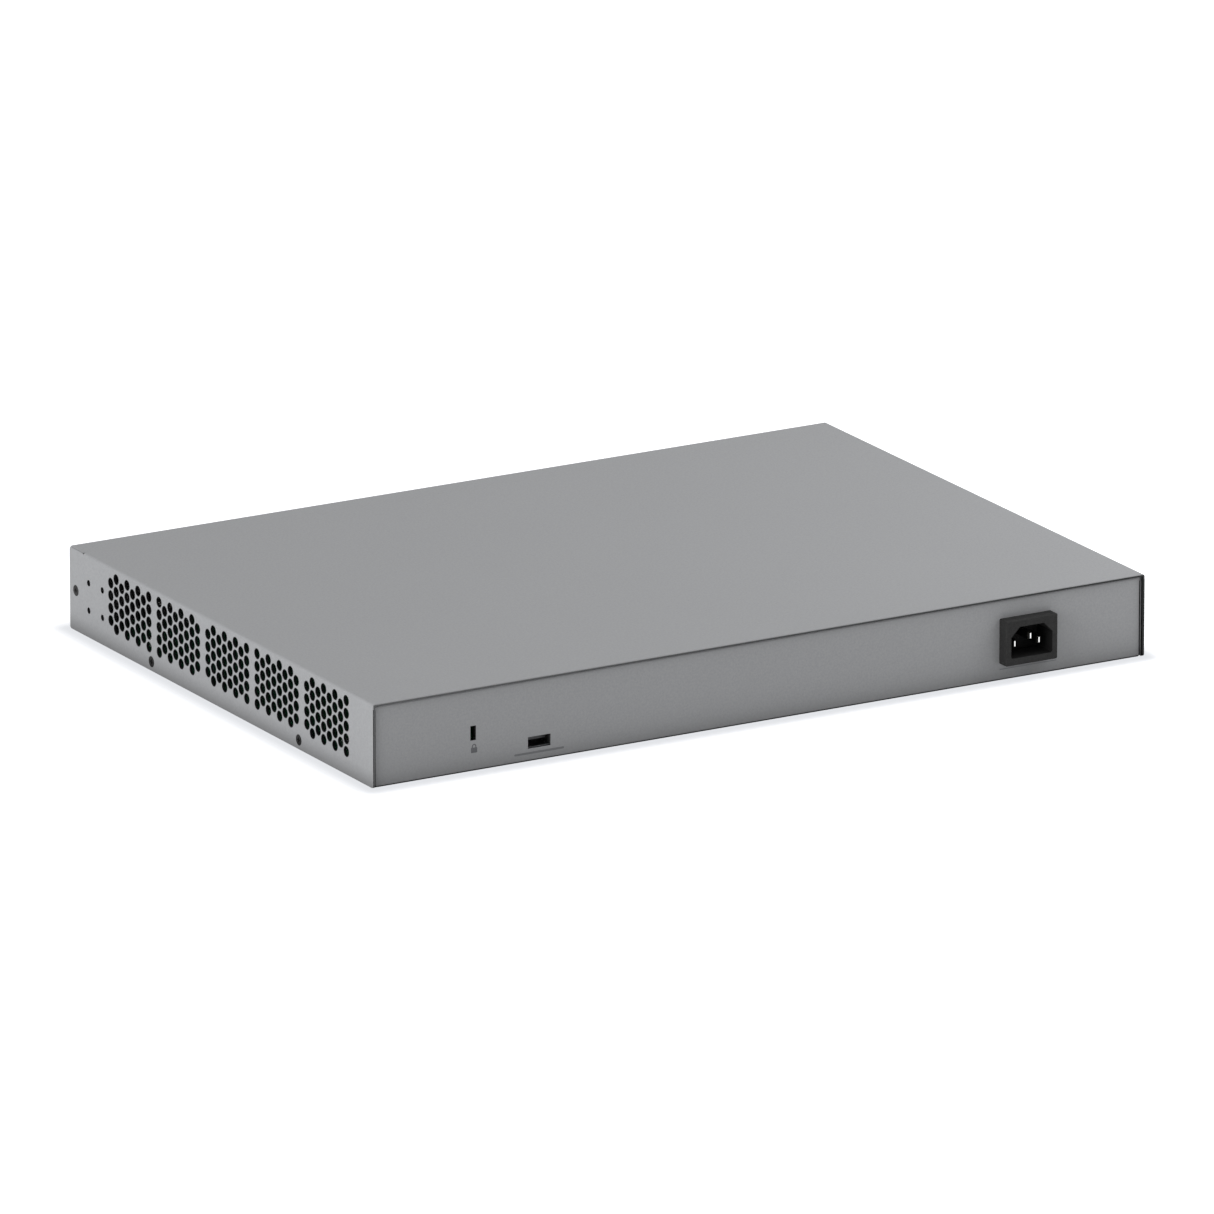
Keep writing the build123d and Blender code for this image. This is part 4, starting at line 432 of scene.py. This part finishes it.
# Moulded and dipped parts. Each finish: its two tones, its roughness, the size of its mottle, and
# the height of the print that the mould or the process leaves. Sizes in mm.
mouldedLooks = {
    "erodedFasciaPlastic": {     # polycarbonate blend, fine spark-eroded texture, charcoal
        "nodes": ("front_bezel",),
        "light": "#35373a", "dark": "#2b2d30", "roughness": 0.52, "mottle": 0.7, "print": 0.012,
    },
    "blackJackPolyester": {      # high-temperature moulding, slightly dusty black
        "nodes": ("jack_housing_left", "jack_housing_right", "transceiver_sockets"),
        "light": "#232425", "dark": "#191a1b", "roughness": 0.45, "mottle": 0.6, "print": 0.006,
    },
    "darkPortPolyester": {       # dark grey, fine and even
        "nodes": ("usb_insert", "reset_button"),
        "light": "#26272a", "dark": "#1c1d20", "roughness": 0.4, "mottle": 0.4, "print": 0.004,
    },
    "milkyLightGuide": {         # polycarbonate that glows from its edges
        "nodes": ("jack_lenses", "light_pipe", "status_lamps"),
        "light": "#dfe5d6", "dark": "#c9d1bf", "roughness": 0.2, "mottle": 0.8, "print": 0.002,
    },
    "greyKeyPlastic": {          # push buttons, fine matt
        "nodes": ("mode_button",),
        "light": "#8d8f92", "dark": "#808285", "roughness": 0.45, "mottle": 0.5, "print": 0.008,
    },
    "mouldedEpoxy": {            # chip packages: filler makes tiny pale specks on black
        "nodes": ("main_chips", "port_chips", "power_transistors", "control_switches"),
        "light": "#2e2f30", "dark": "#1b1c1d", "roughness": 0.6, "mottle": 0.25, "print": 0.006,
    },
    "naturalNylon": {            # creamy connector shells
        "nodes": ("supply_sockets", "board_sockets"),
        "light": "#e6dfc8", "dark": "#d8d0b6", "roughness": 0.4, "mottle": 1.2, "print": 0.004,
    },
    "blackFanPolyester": {       # glass-filled, dull with faint flow marks
        "nodes": ("fan_frame_1", "fan_frame_2", "fan_frame_3",
                  "fan_rotor_1", "fan_rotor_2", "fan_rotor_3"),
        "light": "#1f2021", "dark": "#151617", "roughness": 0.5, "mottle": 1.0, "print": 0.008,
    },
    "redVinylBoot": {            # soft insulating sleeves
        "nodes": ("inlet_boots",),
        "light": "#a02a22", "dark": "#86211b", "roughness": 0.35, "mottle": 1.5, "print": 0.01,
    },
    "blackVinylLead": {          # leads with a waxy gloss
        "nodes": ("live_leads", "fan_leads"),
        "light": "#262626", "dark": "#181818", "roughness": 0.35, "mottle": 1.2, "print": 0.01,
    },
    "redVinylLead": {
        "nodes": ("supply_harness",),
        "light": "#b3261e", "dark": "#8f1d17", "roughness": 0.35, "mottle": 1.2, "print": 0.01,
    },
    "polyesterFilm": {           # frosted sheet under the supply
        "nodes": ("supply_insulator",),
        "light": "#cfd2cc", "dark": "#bfc3bc", "roughness": 0.3, "mottle": 5.0, "print": 0.01,
    },
    "sinteredFerrite": {         # dense grey-black ceramic with open pores
        "nodes": ("transformer_core", "mains_choke", "board_coils"),
        "light": "#3a3b3d", "dark": "#232425", "roughness": 0.55, "mottle": 0.4, "print": 0.02,
    },
    "windingTape": {             # yellow polyester tape, glossy, wrapped in turns
        "nodes": ("transformer_coil",),
        "light": "#e0b53a", "dark": "#c69a28", "roughness": 0.25, "mottle": 2.0, "print": 0.02,
    },
    "shrinkSleeve": {            # blue-black sleeve of the capacitors
        "nodes": ("supply_capacitors", "board_capacitors"),
        "light": "#1e2638", "dark": "#151b29", "roughness": 0.3, "mottle": 1.6, "print": 0.006,
    },
    "blackAnodisedFins": {       # soft black with a slight metallic sheen
        "nodes": ("switch_heatsink", "port_heatsinks"),
        "light": "#2a2b2c", "dark": "#1b1c1d", "roughness": 0.42, "mottle": 0.4, "print": 0.004,
    },
}

# What the mouldings share: where the mottle's noise is dark and where light, and broad flow marks,
# which change the gloss. Sizes in mm.
mottleLook = {"tones": (0.35, 0.7), "flowSize": 18.0, "flowGloss": (-0.04, 0.05)}


def moulded(name, look, shared):
    material, tree, place = emptyMaterial(name)
    mottle = addNode(tree, "ShaderNodeTexNoise",
                     {**fineNoise, "Scale": perMillimetre(look["mottle"])}, {"Vector": place})
    tone = addNode(tree, "ShaderNodeValToRGB",
                   {"stops": zip(shared["tones"], (look["dark"], look["light"]))},
                   {"Fac": mottle.outputs[0]})
    flow = addNode(tree, "ShaderNodeTexNoise",
                   {"Scale": perMillimetre(shared["flowSize"]), "Detail": 1.0}, {"Vector": place})
    glossy, dull = [look["roughness"] + change for change in shared["flowGloss"]]
    gloss = addNode(tree, "ShaderNodeMapRange", {**noiseSpread, 3: glossy, 4: dull},
                    {0: flow.outputs[0]})
    relief = addNode(tree, "ShaderNodeBump", {"Distance": look["print"] * millimetre},
                     {"Height": mottle.outputs[0]})
    shader = addNode(tree, "ShaderNodeBsdfPrincipled", {"IOR": plasticIor},
                     {"Base Color": tone.outputs[0], "Roughness": gloss.outputs[0],
                      "Normal": relief.outputs[0]})
    addNode(tree, "ShaderNodeOutputMaterial", None, {"Surface": shader.outputs[0]})
    return material


for finish, look in mouldedLooks.items():
    dress(moulded(finish, look, mottleLook), *look["nodes"])

# Mains inlet: black glass-filled polyamide. Its outside comes from a fine matt mould, so its top
# stays dark. Its recess is painted a deeper black, as painted shade inside it. Sizes in mm.
inletLook = {
    "light": "#353535",
    "dark": "#2c2c2c",
    # painted shade inside the recess
    "recess": "#1d1d1d",
    "recessSize": (24.2, 16.3),     # a little over the recess's own width and height
    "edge": 0.2,                    # where the recess starts, behind the face
    "roughness": 0.6,
    "specular": 0.06,
    "mottle": 0.9,
    "print": 0.006,
}


def recessMask(tree, place, look):
    # 1 within half the recess's size of the inlet's middle both ways, and behind its face
    low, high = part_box("inlet_housing")
    middle = (low + high) / 2
    start = (middle.x, high.y - look["edge"] * millimetre, middle.z)
    offset = addNode(tree, "ShaderNodeVectorMath", {"operation": "SUBTRACT", 1: start}, {0: place})
    away = addNode(tree, "ShaderNodeVectorMath", {"operation": "ABSOLUTE"}, {0: offset.outputs[0]})
    depth = addNode(tree, "ShaderNodeSeparateXYZ", None, {0: offset.outputs[0]}).outputs["Y"]
    sides = addNode(tree, "ShaderNodeSeparateXYZ", None, {0: away.outputs[0]}).outputs
    halfWide, halfHigh = [size / 2 * millimetre for size in look["recessSize"]]
    wide = addNode(tree, "ShaderNodeMath", {"operation": "LESS_THAN", 1: halfWide},
                   {0: sides["X"]})
    tall = addNode(tree, "ShaderNodeMath", {"operation": "LESS_THAN", 1: halfHigh},
                   {0: sides["Z"]})
    behind = addNode(tree, "ShaderNodeMath", {"operation": "LESS_THAN", 1: 0.0}, {0: depth})
    within = addNode(tree, "ShaderNodeMath", {"operation": "MULTIPLY"},
                     {0: wide.outputs[0], 1: tall.outputs[0]})
    return addNode(tree, "ShaderNodeMath", {"operation": "MULTIPLY"},
                   {0: within.outputs[0], 1: behind.outputs[0]}).outputs[0]


def inletPolyamide(look, shared):
    material, tree, place = emptyMaterial("blackInletPolyamide")
    mottle = addNode(tree, "ShaderNodeTexNoise",
                     {**fineNoise, "Scale": perMillimetre(look["mottle"])}, {"Vector": place})
    tone = addNode(tree, "ShaderNodeValToRGB",
                   {"stops": zip(shared["tones"], (look["dark"], look["light"]))},
                   {"Fac": mottle.outputs[0]})
    # painted shade: the recess is darker
    tone = addNode(tree, "ShaderNodeMix", {"data_type": "RGBA", 7: look["recess"]},
                   {0: recessMask(tree, place, look), 6: tone.outputs[0]})
    relief = addNode(tree, "ShaderNodeBump", {"Distance": look["print"] * millimetre},
                     {"Height": mottle.outputs[0]})
    shader = addNode(tree, "ShaderNodeBsdfPrincipled",
                     {"IOR": plasticIor, "Specular IOR Level": look["specular"],
                      "Roughness": look["roughness"]},
                     {"Base Color": tone.outputs[2], "Normal": relief.outputs[0]})
    addNode(tree, "ShaderNodeOutputMaterial", None, {"Surface": shader.outputs[0]})
    return material


dress(inletPolyamide(inletLook, mottleLook), "inlet_housing")

# Fuse: a soda glass tube with bright plated caps, which are the parts near each end of its length.
# Sizes in mm.
fuseLook = {"glass": "#c9d3d2", "cap": "#d8d8d5", "capLength": 5.0, "capEdge": 0.1,
            "smearSize": 0.5, "roughness": (0.08, 0.25)}


def fuseGlass(look):
    material, tree, place = emptyMaterial("fuseGlassAndCaps")
    low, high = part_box("mains_fuse")
    along = addNode(tree, "ShaderNodeSeparateXYZ", None, {0: place})
    fromMiddle = addNode(tree, "ShaderNodeMath", {"operation": "SUBTRACT", 1: (low.y + high.y) / 2},
                         {0: along.outputs["Y"]})
    reach = addNode(tree, "ShaderNodeMath", {"operation": "ABSOLUTE"}, {0: fromMiddle.outputs[0]})
    start = (high.y - low.y) / 2 - look["capLength"] * millimetre
    cap = addNode(tree, "ShaderNodeMapRange", {1: start, 2: start + look["capEdge"] * millimetre},
                  {0: reach.outputs[0]})
    tone = addNode(tree, "ShaderNodeMix", {"data_type": "RGBA", 6: look["glass"], 7: look["cap"]},
                   {0: cap.outputs[0]})
    smear = addNode(tree, "ShaderNodeTexNoise", {"Scale": perMillimetre(look["smearSize"])},
                    {"Vector": place})
    gloss = addNode(tree, "ShaderNodeMapRange",
                    {**noiseSpread, 3: look["roughness"][0], 4: look["roughness"][1]},
                    {0: smear.outputs[0]})
    shader = addNode(tree, "ShaderNodeBsdfPrincipled", {"IOR": plasticIor},
                     {"Base Color": tone.outputs[2], "Metallic": cap.outputs[0],
                      "Roughness": gloss.outputs[0]})
    addNode(tree, "ShaderNodeOutputMaterial", None, {"Surface": shader.outputs[0]})
    return material


dress(fuseGlass(fuseLook), "mains_fuse")

# Earth lead: vinyl, green with a yellow stripe that winds round it. Sizes in mm.
earthLook = {"green": "#2f7a33", "yellow": "#d9c23a", "stripePitch": 6.0, "stripeWaver": 0.4,
             "stripeEdge": (0.62, 0.68), "roughness": 0.35, "mottle": 1.2, "print": 0.01}


def stripedVinyl(look):
    material, tree, place = emptyMaterial("greenYellowVinyl")
    # at a scale of 1 a diagonal wave has nearly three bands to each metre
    wave = addNode(tree, "ShaderNodeTexWave",
                   {"Scale": perMillimetre(look["stripePitch"]) / 3,
                    "Distortion": look["stripeWaver"], "bands_direction": "DIAGONAL"},
                   {"Vector": place})
    stripe = addNode(tree, "ShaderNodeValToRGB",
                     {"stops": zip(look["stripeEdge"], (look["green"], look["yellow"]))},
                     {"Fac": wave.outputs[1]})
    mottle = addNode(tree, "ShaderNodeTexNoise", {"Scale": perMillimetre(look["mottle"])},
                     {"Vector": place})
    relief = addNode(tree, "ShaderNodeBump", {"Distance": look["print"] * millimetre},
                     {"Height": mottle.outputs[0]})
    shader = addNode(tree, "ShaderNodeBsdfPrincipled",
                     {"IOR": plasticIor, "Roughness": look["roughness"]},
                     {"Base Color": stripe.outputs[0], "Normal": relief.outputs[0]})
    addNode(tree, "ShaderNodeOutputMaterial", None, {"Surface": shader.outputs[0]})
    return material


dress(stripedVinyl(earthLook), "earth_lead")

# Boards: glass epoxy under solder mask, and bare paper laminate. Copper runs show through as
# slightly raised, lighter lines, and pads as small tinned dots. Real runs are 0.2 mm wide, too fine
# to show, so they are drawn about three times as wide. runSize and padSize are in mm.
boardLooks = {
    "greenSolderMask": {
        "node": "main_board", "base": "#0e3322", "run": "#16482e", "pad": "#c9c6ba",
        "roughness": 0.32, "runSize": 5.0, "padSize": 4.0, "padWidth": 0.12,
    },
    "paperLaminate": {
        "node": "supply_board", "base": "#8f6a3c", "run": "#7d5a31", "pad": "#cfccc0",
        "roughness": 0.5, "runSize": 9.0, "padSize": 7.0, "padWidth": 0.1,
    },
}

# What the boards share. The distance from the middle of a cell is folded to and fro, and the runs
# are where it is past runEdge. The copper's height is in mm, and the other widths are in cells.
copperLook = {"fold": 0.12, "runEdge": (0.05, 0.07), "padEdge": 0.02, "padScatter": 0.55,
              "padRoughness": 0.25, "height": 0.02}


def laminate(name, look, shared):
    material, tree, place = emptyMaterial(name)
    cells = addNode(tree, "ShaderNodeTexVoronoi",
                    {"distance": "MANHATTAN", "Scale": perMillimetre(look["runSize"])},
                    {"Vector": place})
    folds = addNode(tree, "ShaderNodeMath", {"operation": "PINGPONG", 1: shared["fold"]},
                    {0: cells.outputs["Distance"]})
    copper = addNode(tree, "ShaderNodeMapRange",
                     {1: shared["runEdge"][0], 2: shared["runEdge"][1]}, {0: folds.outputs[0]})
    dots = addNode(tree, "ShaderNodeTexVoronoi",
                   {"Scale": perMillimetre(look["padSize"]), "Randomness": shared["padScatter"]},
                   {"Vector": place})
    pad = addNode(tree, "ShaderNodeMapRange",
                  {1: look["padWidth"], 2: look["padWidth"] + shared["padEdge"], 3: 1.0, 4: 0.0},
                  {0: dots.outputs["Distance"]})
    tone = addNode(tree, "ShaderNodeMix", {"data_type": "RGBA", 6: look["base"], 7: look["run"]},
                   {0: copper.outputs[0]})
    tone = addNode(tree, "ShaderNodeMix", {"data_type": "RGBA", 7: look["pad"]},
                   {0: pad.outputs[0], 6: tone.outputs[2]})
    gloss = addNode(tree, "ShaderNodeMapRange",
                    {3: look["roughness"], 4: shared["padRoughness"]}, {0: pad.outputs[0]})
    relief = addNode(tree, "ShaderNodeBump", {"Distance": shared["height"] * millimetre},
                     {"Height": copper.outputs[0]})
    shader = addNode(tree, "ShaderNodeBsdfPrincipled", {"IOR": plasticIor},
                     {"Base Color": tone.outputs[2], "Roughness": gloss.outputs[0],
                      "Normal": relief.outputs[0]})
    addNode(tree, "ShaderNodeOutputMaterial", None, {"Surface": shader.outputs[0]})
    return material


for finish, look in boardLooks.items():
    dress(laminate(finish, look, copperLook), look["node"])
print("stage: nodes dressed")

# Ink: screen-printed epoxy, matt, and a little thinner in specks, where the paint below shows.
# Sizes in mm.
inkLook = {"speckSize": 0.4, "wear": 0.25, "roughness": 0.55, "film": 0.03, "thin": "#808285"}


def makePrint(name, points, faces, ink):
    # a thin film of ink that lies on the case and moves with it
    mesh = bpy.data.meshes.new(name)
    mesh.from_pydata(points, [], faces)
    mesh.materials.append(ink)
    mesh.update()
    piece = bpy.data.objects.new(name, mesh)
    bpy.context.scene.collection.objects.link(piece)
    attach(piece, "chassis")


def printedInk(name, colour, thin, look):
    material, tree, place = emptyMaterial(name)
    density = addNode(tree, "ShaderNodeTexNoise", {"Scale": perMillimetre(look["speckSize"])},
                      {"Vector": place})
    wearAndShade = addNode(tree, "ShaderNodeMapRange", {**noiseSpread, 4: look["wear"]},
                   {0: density.outputs[0]})
    tone = addNode(tree, "ShaderNodeMix", {"data_type": "RGBA", 6: colour, 7: thin},
                   {0: wearAndShade.outputs[0]})
    shader = addNode(tree, "ShaderNodeBsdfPrincipled",
                     {"IOR": plasticIor, "Roughness": look["roughness"]},
                     {"Base Color": tone.outputs[2]})
    addNode(tree, "ShaderNodeOutputMaterial", None, {"Surface": shader.outputs[0]})
    return material


def rearMark(name, outline, ink):
    # A closed film: the outline on the rear wall, the same outline a film's thickness out, and the
    # quads between them. outline is rows of X and Z, clockwise seen from behind
    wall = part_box("base_pan")[1].y
    count = len(outline)
    rings = [np.column_stack([outline[:, 0], np.full(count, y), outline[:, 1]])
             for y in (wall, wall + inkLook["film"] * millimetre)]
    here = np.arange(count)
    after = (here + 1) % count
    sides = np.column_stack([here, after, after + count, here + count])
    caps = [list(range(count - 1, -1, -1)), list(range(count, 2 * count))]
    makePrint(name, np.vstack(rings), sides.tolist() + caps, ink)


def roundedOutline(centre, size, radius, arcPoints=6):
    # A rectangle with quarter circles for corners: each corner's centre plus the radius times the
    # angle's cosine and sine
    turn = np.concatenate([np.linspace(0, np.pi / 2, arcPoints) + k * np.pi / 2 for k in range(4)])
    corner = np.repeat(np.array([[1, 1], [-1, 1], [-1, -1], [1, -1]]), arcPoints, axis=0)
    arcs = radius * np.column_stack([np.cos(turn), np.sin(turn)])
    points = corner * (np.array(size) / 2 - radius) + arcs
    return np.array(centre) + points * [-1, 1]


def archOutline(centre, outer, bar, leg, arcPoints=14):
    # A half ring on two straight legs. Both arcs are a radius times the angle's cosine and sine,
    # the outer one from 0 to 180 degrees and the inner one back
    turn = np.linspace(0, np.pi, arcPoints)
    arc = np.column_stack([np.cos(turn), np.sin(turn)])
    inner = outer - bar
    points = np.vstack([[[outer, -leg]], outer * arc, [[-outer, -leg], [-inner, -leg]],
                        inner * arc[::-1], [[inner, -leg]]])
    return np.array(centre) + points * [-1, 1]


# Marks on the rear: plain rules under the data port and the inlet, and a small padlock of plain
# shapes under the lock slot. Each lies its drop below that piece, and its aside along X from the
# piece's middle. Sizes in mm.
rearRules = {
    "portRule": {
        "under": "usb_shell", "size": (28.0, 1.1), "drop": 2.4, "aside": 0.0, "ink": "#6a6b6d",
    },
    "inletRule": {
        "under": "inlet_housing", "size": (33.0, 0.6), "drop": 2.9, "aside": -1.6, "ink": "#77787b",
    },
}
ruleRounding = 2.2      # a rule's height is this many times the radius of its corners

padlockLook = {
    "drop": 8.8,            # from the middle of the lock plate
    "aside": -0.5,
    "body": (3.5, 2.7),
    "corner": 0.4,
    "outer": 1.25,          # outer radius of the shackle
    "bar": 0.55,            # how thick the shackle is
    "leg": 0.6,             # how far its arch stands above the body
    "ink": "#48494c",
}


def printRule(name, mark):
    low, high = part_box(mark["under"])
    centre = ((low.x + high.x) / 2 + mark["aside"] * millimetre, low.z - mark["drop"] * millimetre)
    size = np.array(mark["size"]) * millimetre
    ink = printedInk(name + "Ink", mark["ink"], inkLook["thin"], inkLook)
    rearMark(name, roundedOutline(centre, size, size[1] / ruleRounding), ink)


def printPadlock(look):
    low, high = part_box("lock_plate")
    ink = printedInk("padlockInk", look["ink"], inkLook["thin"], inkLook)
    x = (low.x + high.x) / 2 + look["aside"] * millimetre
    z = (low.z + high.z) / 2 - look["drop"] * millimetre
    body = np.array(look["body"]) * millimetre
    rearMark("padlockBody", roundedOutline((x, z), body, look["corner"] * millimetre), ink)
    top = z + body[1] / 2 + look["leg"] * millimetre
    sizes = [look[key] * millimetre for key in ("outer", "bar", "leg")]
    rearMark("padlockShackle", archOutline((x, top), *sizes), ink)


for name, mark in rearRules.items():
    printRule(name, mark)
printPadlock(padlockLook)

# Plain numbers beside the jacks and bays, in pale ink on the fascia. Odd ones stand over the upper
# row and even ones under the lower row; the bays go on from there. Sizes in mm.
numberLook = {
    "height": 2.3,
    "fontSize": 1.35,       # the font's size, in heights of a number
    "smoothness": 3,        # steps in each curve of a number
    "above": 2.6,
    "below": 2.5,
    "film": 0.02,
    "ink": "#d4d6d8",
    "wearAndShade": "#8a8c8f",
}

# The pieces that are numbered, from left to right: how many columns each has, and how many rows
numberedPieces = {"jack_housing_left": (6, 2), "jack_housing_right": (6, 2),
                  "transceiver_cage": (4, 1)}


def numberPlaces(look):
    places = []
    for node, (columns, rows) in numberedPieces.items():
        low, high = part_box(node)
        heights = [high.z + look["above"] * millimetre, low.z - look["below"] * millimetre]
        for column in range(columns):
            x = low.x + (high.x - low.x) * (column + 0.5) / columns
            places += [(x, z) for z in heights[:rows]]
    return places


def numberMesh(number, look):
    # a number's points as rows of X, Y and Z, the points round its faces, and each face's start
    curve = bpy.data.curves.new("portNumber", "FONT")
    curve.body = str(number)
    curve.size = look["height"] * millimetre * look["fontSize"]
    curve.align_x = curve.align_y = "CENTER"
    curve.extrude = look["film"] * millimetre
    curve.resolution_u = look["smoothness"]
    text = bpy.data.objects.new("portNumber", curve)
    bpy.context.scene.collection.objects.link(text)
    bpy.context.view_layer.update()
    seen = text.evaluated_get(bpy.context.evaluated_depsgraph_get())
    mesh = bpy.data.meshes.new_from_object(seen)
    bpy.data.objects.remove(text)
    flat = np.zeros(len(mesh.vertices) * 3)
    mesh.vertices.foreach_get("co", flat)
    corners = np.zeros(len(mesh.loops), int)
    mesh.loops.foreach_get("vertex_index", corners)
    starts = np.zeros(len(mesh.polygons), int)
    mesh.polygons.foreach_get("loop_start", starts)
    return flat.reshape(-1, 3), corners, starts


def portNumbers(look):
    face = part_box("front_bezel")[0].y
    points, faces, first = [], [], 0
    for number, (x, z) in enumerate(numberPlaces(look), 1):
        flat, corners, starts = numberMesh(number, look)
        # the text's own X runs along the fascia, its Y up it, and its Z out of it
        points.append(np.column_stack([flat[:, 0] + x, face - flat[:, 2], flat[:, 1] + z]))
        faces += [polygon.tolist() for polygon in np.split(corners + first, starts[1:])]
        first += len(flat)
    ink = printedInk("paleNumberInk", look["ink"], look["wearAndShade"], inkLook)
    makePrint("portNumbers", np.vstack(points), faces, ink)


portNumbers(numberLook)
print("stage: prints added")


# The floor gives back soft light all round, but a contact shadow is painted along the case's foot:
# in that strip it gives back little light and shows darker. Elsewhere what the camera sees of it is
# topped up to white. The painted strip and drop are in mm.
floorLook = {
    "size": 60.0,                # in metres
    "drop": 0.02,                # how far below the case's feet it lies
    "tint": "#f9fbff",
    "near": {"bounce": 0.06, "shown": 0.775, "mirrored": 0.1},
    "far": {"bounce": 0.88, "shown": 0.58, "mirrored": 0.58},
    "paintedShadowStrip": (1.0, 15.0),    # how far from the case the painted shadow starts to fade, and where it ends
}

# How strongly the sky lights the case, and how bright it is where it shows or is mirrored
skyLook = {"light": 0.52, "shown": 1.0}

# Each lamp is a square softbox aimed at the case: the direction from it, the distance and size in
# metres, and the watts
lampLooks = {
    "sideSoftbox": {"from": (0.92, 0.2, 0.34), "distance": 3.0, "size": 1.8, "power": 58.5},
    "farSoftbox": {"from": (-0.75, 0.25, 0.56), "distance": 0.9, "size": 0.5, "power": 3.3},
}

# Angles in degrees, distance and clip in metres, lens and sensor in mm
cameraLook = {
    "azimuth": 150.0243,
    "elevation": 17.022,
    "distance": 9.0441,
    "lens": 537.24,
    "sensor": 36.0,
    "shift": (0.00099, 0.02933),
    "clip": (0.1, 200.0),
}


def directRays(tree):
    # 1 for rays straight from the camera, and 1 for rays from a mirror or through glass
    rays = addNode(tree, "ShaderNodeLightPath")
    mirror = addNode(tree, "ShaderNodeMath", {"operation": "MAXIMUM"},
                     {0: rays.outputs["Is Glossy Ray"], 1: rays.outputs["Is Transmission Ray"]})
    return rays.outputs["Is Camera Ray"], mirror.outputs[0]


def floorMaterial(look):
    material, tree, place = emptyMaterial("paleFloor")
    # distance from the case's outline: the length of what each axis has beyond the case's half size
    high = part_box("top_cover")[1]
    spread = addNode(tree, "ShaderNodeVectorMath", {"operation": "ABSOLUTE"}, {0: place})
    beyond = addNode(tree, "ShaderNodeVectorMath", {"operation": "SUBTRACT", 1: tuple(high)},
                     {0: spread.outputs[0]})
    outside = addNode(tree, "ShaderNodeVectorMath", {"operation": "MAXIMUM", 1: (0, 0, 0)},
                      {0: beyond.outputs[0]})
    reach = addNode(tree, "ShaderNodeVectorMath", {"operation": "LENGTH"},
                    {0: outside.outputs[0]})
    # painted contact shadow: each level fades from its near value to its far one across the strip
    start, end = [edge * millimetre for edge in look["paintedShadowStrip"]]
    level = {}
    for key in ("bounce", "shown", "mirrored"):
        fade = addNode(tree, "ShaderNodeMapRange",
                       {"interpolation_type": "SMOOTHSTEP", 1: start, 2: end,
                        3: look["near"][key], 4: look["far"][key]}, {0: reach.outputs["Value"]})
        level[key] = fade.outputs[0]
    camera, mirror = directRays(tree)
    seen = addNode(tree, "ShaderNodeMath", {"operation": "MULTIPLY"},
                   {0: level["shown"], 1: camera})
    glow = addNode(tree, "ShaderNodeMath", {"operation": "MULTIPLY_ADD"},
                   {0: level["mirrored"], 1: mirror, 2: seen.outputs[0]})
    light = addNode(tree, "ShaderNodeEmission", {"Color": look["tint"]},
                    {"Strength": glow.outputs[0]})
    matt = addNode(tree, "ShaderNodeBsdfDiffuse", None, {"Color": level["bounce"]})
    both = addNode(tree, "ShaderNodeAddShader", None, {0: matt.outputs[0], 1: light.outputs[0]})
    addNode(tree, "ShaderNodeOutputMaterial", None, {"Surface": both.outputs[0]})
    return material


def makeFloor(look):
    half, z = look["size"] / 2, -look["drop"] * millimetre
    mesh = bpy.data.meshes.new("floor")
    mesh.from_pydata([(-half, -half, z), (half, -half, z), (half, half, z), (-half, half, z)],
                     [], [(0, 1, 2, 3)])
    mesh.materials.append(floorMaterial(look))
    floor = bpy.data.objects.new("floor", mesh)
    bpy.context.scene.collection.objects.link(floor)


def makeSky(look):
    world = bpy.data.worlds.new("paleRoom")
    bpy.context.scene.world = world
    world.use_nodes = True
    tree = world.node_tree
    tree.nodes.clear()
    camera, mirror = directRays(tree)
    direct = addNode(tree, "ShaderNodeMath", {"operation": "MAXIMUM"}, {0: camera, 1: mirror})
    strength = addNode(tree, "ShaderNodeMapRange", {3: look["light"], 4: look["shown"]},
                       {0: direct.outputs[0]})
    glow = addNode(tree, "ShaderNodeBackground", {"Color": "#ffffff"},
                   {"Strength": strength.outputs[0]})
    addNode(tree, "ShaderNodeOutputWorld", None, {"Surface": glow.outputs[0]})


def makeLamp(name, look):
    light = bpy.data.lights.new(name, "AREA")
    light.energy = look["power"]
    light.size = look["size"]
    lamp = bpy.data.objects.new(name, light)
    toLamp = Vector(look["from"]).normalized()
    lamp.location = toLamp * look["distance"]
    lamp.rotation_euler = (-toLamp).to_track_quat("-Z", "Y").to_euler()
    bpy.context.scene.collection.objects.link(lamp)


def makeCamera(look):
    around, up = math.radians(look["azimuth"]), math.radians(look["elevation"])
    back = Vector((math.sin(around) * math.cos(up), -math.cos(around) * math.cos(up), math.sin(up)))
    data = bpy.data.cameras.new("camera")
    data.sensor_width = look["sensor"]
    data.lens = look["lens"]
    data.shift_x, data.shift_y = look["shift"]
    data.clip_start, data.clip_end = look["clip"]
    camera = bpy.data.objects.new("camera", data)
    camera.location = back * look["distance"]
    camera.rotation_euler = (-back).to_track_quat("-Z", "Y").to_euler()
    bpy.context.scene.collection.objects.link(camera)
    bpy.context.scene.camera = camera


makeFloor(floorLook)
makeSky(skyLook)
for lampName, look in lampLooks.items():
    makeLamp(lampName, look)
makeCamera(cameraLook)
bpy.context.scene.view_settings.view_transform = "Standard"
print("stage: camera and light set")
